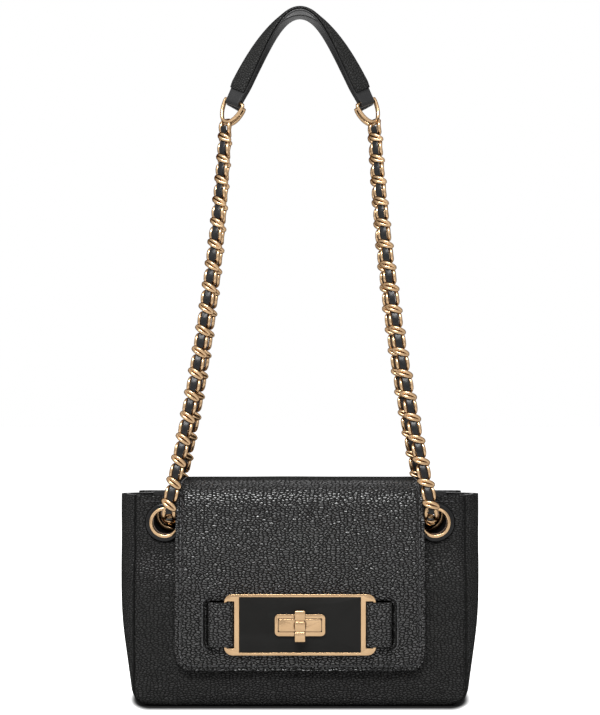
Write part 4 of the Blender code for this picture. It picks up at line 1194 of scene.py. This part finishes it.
def buildKnob():
    low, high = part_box("turn_knob")
    half, reach = (high.x - low.x) / 2, (high.z - low.z) / 2
    front, back = low.y, low.y + knob["depth"]
    middle, core = flap["plateCentre"], knob["core"]
    above, below = knob["band"] + knob["groove"] / 2, knob["band"] - knob["groove"] / 2
    parts = []
    # each part's half width, front, lower and upper end from the middle, and edge
    for name, wide, start, foot, top, edge in (
        ("knobTop", half, front, above, reach, 0.7),
        ("knobBand", half * 0.99, front + 0.05 * mm, -below, below, 0.5),
        ("knobFoot", half, front, -reach, -above, 0.7),
        ("knobCore", half - core, front + core, knob["coreEnd"] - reach, reach - knob["coreEnd"], 0.3),
    ):
        parts.append(softBox(name, (-wide, start, middle + foot), (wide, back, middle + top), edge * mm))
    parts.append(crossRod(
        knob["spindle"], knob["spindleLength"], (0, back + knob["spindle"], middle), vertices=32,
    ))
    finishPiece(joinPieces("turnKnob", parts), roseGold, "knob_body", ["turn_knob"], 35)


buildPlate()
buildTabs()
buildKnob()
print("plate and lock ready")


# strap: two pads over the shoulder, each between two rings

strap = millimetres(
    apex=449.8, width=12.5, endWidth=10.5, leather=1.2, offset=8, halfSpan=44, roundness=82.5, gap=0.3,
    wire=2.4, ringWidth=17.5, ringHeight=16.5,
)
strap.update(steep=2.6, twist=radians(60), curl=radians(270), endShare=0.84)
pad = millimetres(thick=2.3, seat=0.9, under=0.7, stitchLift=1.75, stitchInset=1.7, stitchPitch=3.2)
pad.update(share=0.925, stitchShare=0.9, endThick=0.55, endWidth=0.93, square=0.55)
loopRadius = strap["wire"] / 2 + strap["gap"] + strap["leather"] / 2


def archFrame(x, facing):
    # place, way along, way out and way across at x on the strap's arch
    root = sqrt(strap["roundness"] ** 2 + (strap["steep"] * x) ** 2)
    along = Vector((1, 0, -(strap["steep"] ** 2) * x / root)).normalized()
    out = Vector((-along.z, 0, along.x))
    twist = -facing * strap["twist"] * ease(abs(x) / strap["halfSpan"])
    across = Vector((0, cos(twist), 0)) + out * sin(twist)
    normal = out * cos(twist) - Vector((0, sin(twist), 0))
    place = Vector((x, facing * strap["offset"], strap["apex"] - root + strap["roundness"]))
    return place, along, normal, across


def ringFrame(side, facing):
    place, along, normal, across = archFrame(side * strap["halfSpan"], facing)
    return place - normal * loopRadius, across, along * side, normal


def bandWidth(x):
    past = (abs(x) / strap["halfSpan"] - strap["endShare"]) / (1 - strap["endShare"])
    return between(strap["width"], strap["endWidth"], ease(past))


def strapRoute(facing):
    # along the arch from one curled end to the other
    curls = []
    for side in (-1, 1):
        bar, across, down, normal = ringFrame(side, facing)
        curl = []
        for angle in spaced(0, strap["curl"], 18)[1:]:
            out = normal * cos(angle) + down * sin(angle)
            curl.append((bar + out * loopRadius, out, across))
        curls.append(curl)
    route = curls[0][::-1]
    for x in spaced(-strap["halfSpan"], strap["halfSpan"], 80):
        place, along, normal, across = archFrame(x, facing)
        route.append((place, normal, across))
    return route + curls[1]


def strapPlace(route):
    last = len(route) - 1

    def place(across, along):
        spot, normal, wide = route[min(int(round(along * last)), last)]
        return spot + normal * strap["leather"] / 2 + wide * bandWidth(spot.x) / 2 * (2 * across - 1)
    return place


def padPlace(facing):
    def place(across, along):
        # round the padded cover's section once while going along the arch
        angle = 2 * pi * across
        lift = sin(angle)
        spread = 2 * along - 1
        spot, ahead, normal, wide = archFrame(strap["halfSpan"] * pad["share"] * spread, facing)
        ends = ease((1 - abs(spread)) / 0.04)
        half = strap["width"] / 2 * between(pad["endWidth"], 1, ends)
        sideways = signedPower(cos(angle), pad["square"]) * half
        thick = pad["thick"] * between(pad["endThick"], 1, ends) - pad["under"]
        height = signedPower(lift, 0.7) * (thick if lift >= 0 else pad["under"])
        return spot + normal * (strap["leather"] / 2 + pad["seat"] + height) + wide * sideways
    return place


def buildStraps():
    for face, facing in frontRear:
        route = strapRoute(facing)
        piece = shapeGrid(face + "StrapLeather", 8, len(route) - 1, strapPlace(route))
        offset = facing * strap["offset"]
        faceOut(piece, lambda spot, offset=offset: Vector((spot.x * 0.9, offset, spot.z - 20 * mm)))
        thickenSheet(piece, strap["leather"], 0.25 * mm)
        finishPiece(piece, bandLeather, face + "_strap_body", [face + "_strap"])

        piece = shapeGrid(face + "ShoulderPad", 32, 96, padPlace(facing))
        openMesh(piece)
        bpy.ops.mesh.remove_doubles(threshold=0.02 * mm)
        bpy.ops.mesh.select_all(action="DESELECT")
        bpy.ops.mesh.select_non_manifold()
        bpy.ops.mesh.edge_face_add()
        closeMesh()
        sealMesh(piece)
        finishPiece(piece, padLeather, face + "_strap_body", [face + "_pad"], 60)
        reach = strap["halfSpan"] * pad["stitchShare"]
        for edgeName, edge in (("Near", -1), ("Far", 1)):
            line = []
            for x in spaced(-reach, reach, 120):
                spot, ahead, normal, wide = archFrame(x, facing)
                spot += normal * (strap["leather"] / 2 + pad["stitchLift"])
                line.append(spot + wide * edge * (strap["width"] / 2 - pad["stitchInset"]))
            stitchRow(
                f"{face}PadStitches{edgeName}", line, lambda spot, facing=facing: padOut(spot, facing),
                face + "_strap_body", pad["stitchPitch"],
            )


def padOut(spot, facing):
    return archFrame(min(max(spot.x, -strap["halfSpan"]), strap["halfSpan"]), facing)[2]


def ringPoints(side, facing):
    # a straight bar in the strap's loop and a bow below it
    bar, across, down, normal = ringFrame(side, facing)
    half, drop = (strap["ringWidth"] - strap["wire"]) / 2, strap["ringHeight"] - strap["wire"]
    points = [bar - across * half * share for share in spaced(0.93, -0.93, 8)]
    for angle in spaced(0, pi, 40)[:-1]:
        points.append(bar + across * half * cos(angle) + down * drop * sin(angle))
    return points


def buildRings():
    for node, label, face, facing, side in corners:
        piece = tubeAlong(label + "Ring", ringPoints(side, facing), strap["wire"] / 2, closed=True, sides=6)
        finishPiece(piece, roseGold, node + "_ring_body", [node + "_ring"], 70)


buildStraps()
buildRings()
print("straps and rings ready")


# chains with their lace

chain = millimetres(
    pitch=7.15, wire=2.5, laceWidth=3.7, laceThick=1.1, laceLift=0.4, laceCurve=0.35, laceEnd=1.5, bow=5.4,
    inboard=3.2, bend=9, bendCentre=(30.3, 128.523), sag=6, insideReach=23.9, start=3.6, insideStart=1.2,
    blendBefore=1.5, blendAfter=14,
)
chain.update(roll=radians(34), rollShare=0.75, insideRoll=radians(30), turn=radians(45))
# one link lies along the lace, its rails beside it, and the next lies aslant over it
alongLink = millimetres(halfLong=4.8, halfWide=3.3, lift=0.5, ends=-2.4)
alongLink.update(turn=0.0, square=0.62)
overLink = millimetres(halfLong=4.7, halfWide=1.3, lift=1.9, ends=-2.3)
overLink.update(turn=radians(63), square=0.85)


def chainX(side):
    return side * (grommet["x"] - chain["inboard"])


def bendPoint(side, facing, angle):
    # where the chain turns over the eyelet, angle down from the way out
    y, z = chain["bendCentre"]
    out, drop = chain["bend"] * cos(angle), chain["bend"] * sin(angle)
    return Vector((chainX(side), facing * (y + out), z - drop))


def runLine(side, facing):
    bar, across, down, normal = ringFrame(side, facing)
    top = bar + down * (strap["ringHeight"] - strap["wire"])
    foot = bendPoint(side, facing, 0)
    points = []
    for share in spaced(0, 1, 48):
        place = top.lerp(foot, share)
        place.x -= side * chain["bow"] * 4 * share * (1 - share)
        points.append(place)
    return points + [bendPoint(side, facing, angle) for angle in spaced(0, chain["turn"], 8)[1:]]


def insideLine(side):
    turns = spaced(chain["turn"], quarter, 8)
    points = [bendPoint(side, -1, angle) for angle in turns]
    level = chain["bendCentre"][1] - chain["bend"]
    for share in spaced(-1, 1, 20)[1:-1]:
        z = level - chain["sag"] * (1 - share * share)
        points.append(Vector((chainX(side), chain["insideReach"] * share, z)))
    return points + [bendPoint(side, 1, angle) for angle in turns[::-1]]


def runRoll(share):
    return chain["roll"] * (1 - ease(share / chain["rollShare"]))


def insideRoll(share):
    return chain["insideRoll"] * sin(pi * share)


def framesAlong(points, step, start, rollAt):
    # frames every step along a line: place, way along, way across, way out, distance
    total = distances(points)[-1]
    frames = []
    for place, index, at in walkAlong(points, step, start):
        along = (points[min(index + 2, len(points) - 1)] - points[max(index - 1, 0)]).normalized()
        across = Vector((1, 0, 0))
        across = (across - along * across.dot(along)).normalized()
        across = Matrix.Rotation(rollAt(at / total), 3, along) @ across
        frames.append((place, along, across, along.cross(across), at))
    return frames, total


def linkShape(look):
    # one link as a closed tube about the origin, the chain's way X, across it Y, out of it Z
    points = []
    cosine, sine = cos(look["turn"]), sin(look["turn"])
    for angle in spaced(0, 2 * pi, 24)[:-1]:
        long, wide = (signedPower(value, look["square"]) for value in (cos(angle), sin(angle)))
        x, y = look["halfLong"] * long, look["halfWide"] * wide
        z = look["lift"] + look["ends"] * long * long
        points.append(Vector((x * cosine - y * sine, x * sine + y * cosine, z)))
    return takeShape(tubeAlong("linkShape", points, chain["wire"] / 2, closed=True, sides=2))


linkShapes = [linkShape(alongLink), linkShape(overLink)]


def layLace(name, points, start, rollAt):
    # out at the first link, in at the next
    frames, total = framesAlong(points, chain["pitch"] / 8, start, rollAt)
    frames = [entry for entry in frames if entry[4] < total - chain["laceEnd"]]
    last = len(frames) - 1

    def place(across, along):
        spot, ahead, wide, out, at = frames[min(int(round(along * last)), last)]
        spread = 2 * across - 1
        swing = cos(pi * (at - start) / chain["pitch"])
        lift = chain["laceLift"] * signedPower(swing, 0.8)
        lift += chain["laceCurve"] * (1 - spread ** 2) * swing + chain["laceThick"] / 2
        return spot + out * lift + wide * chain["laceWidth"] / 2 * spread

    piece = shapeGrid(name, 6, last, place)
    thickenSheet(piece, chain["laceThick"], 0.2 * mm)
    return piece


def buildRun(label, node, line, start, rollAt, body):
    # the links and the lace of one stretch of chain
    frames, total = framesAlong(line, chain["pitch"], start, rollAt)
    links = layShapes(label + "Links", [
        (linkShapes[index % 2], place, Matrix((along, across, out)).transposed())
        for index, (place, along, across, out, at) in enumerate(frames)
    ])
    finishPiece(links, roseGold, body, [node + "_chain"], 80)
    lace = layLace(label + "Lace", line, start, rollAt)
    finishPiece(lace, smoothLeather, body, [node + "_lace"])
    return links, lace


def buildChains():
    for node, label, face, facing, side in corners:
        line = runLine(side, facing)
        run = buildRun(label + "Chain", node, line, chain["start"], runRoll, None)
        pivot = bendPoint(side, facing, chain["turn"])
        ahead = (line[-5] - line[-1]).normalized()
        start, end = pivot - ahead * chain["blendBefore"], pivot + ahead * chain["blendAfter"]
        for piece in run:
            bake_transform(piece)
            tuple(start)
            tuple(end)
    for sideName, side in leftRight:
        label, node = sideName + "Inside", sideName + "_inside"
        buildRun(label, node, insideLine(side), chain["insideStart"], insideRoll, "bag_body")


buildChains()
print("chains ready")


# the base board stays from the frame and gets its finish

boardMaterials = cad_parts["base_board"].data.materials
boardMaterials.clear()
boardMaterials.append(fibreBoard)

print("scene ready")
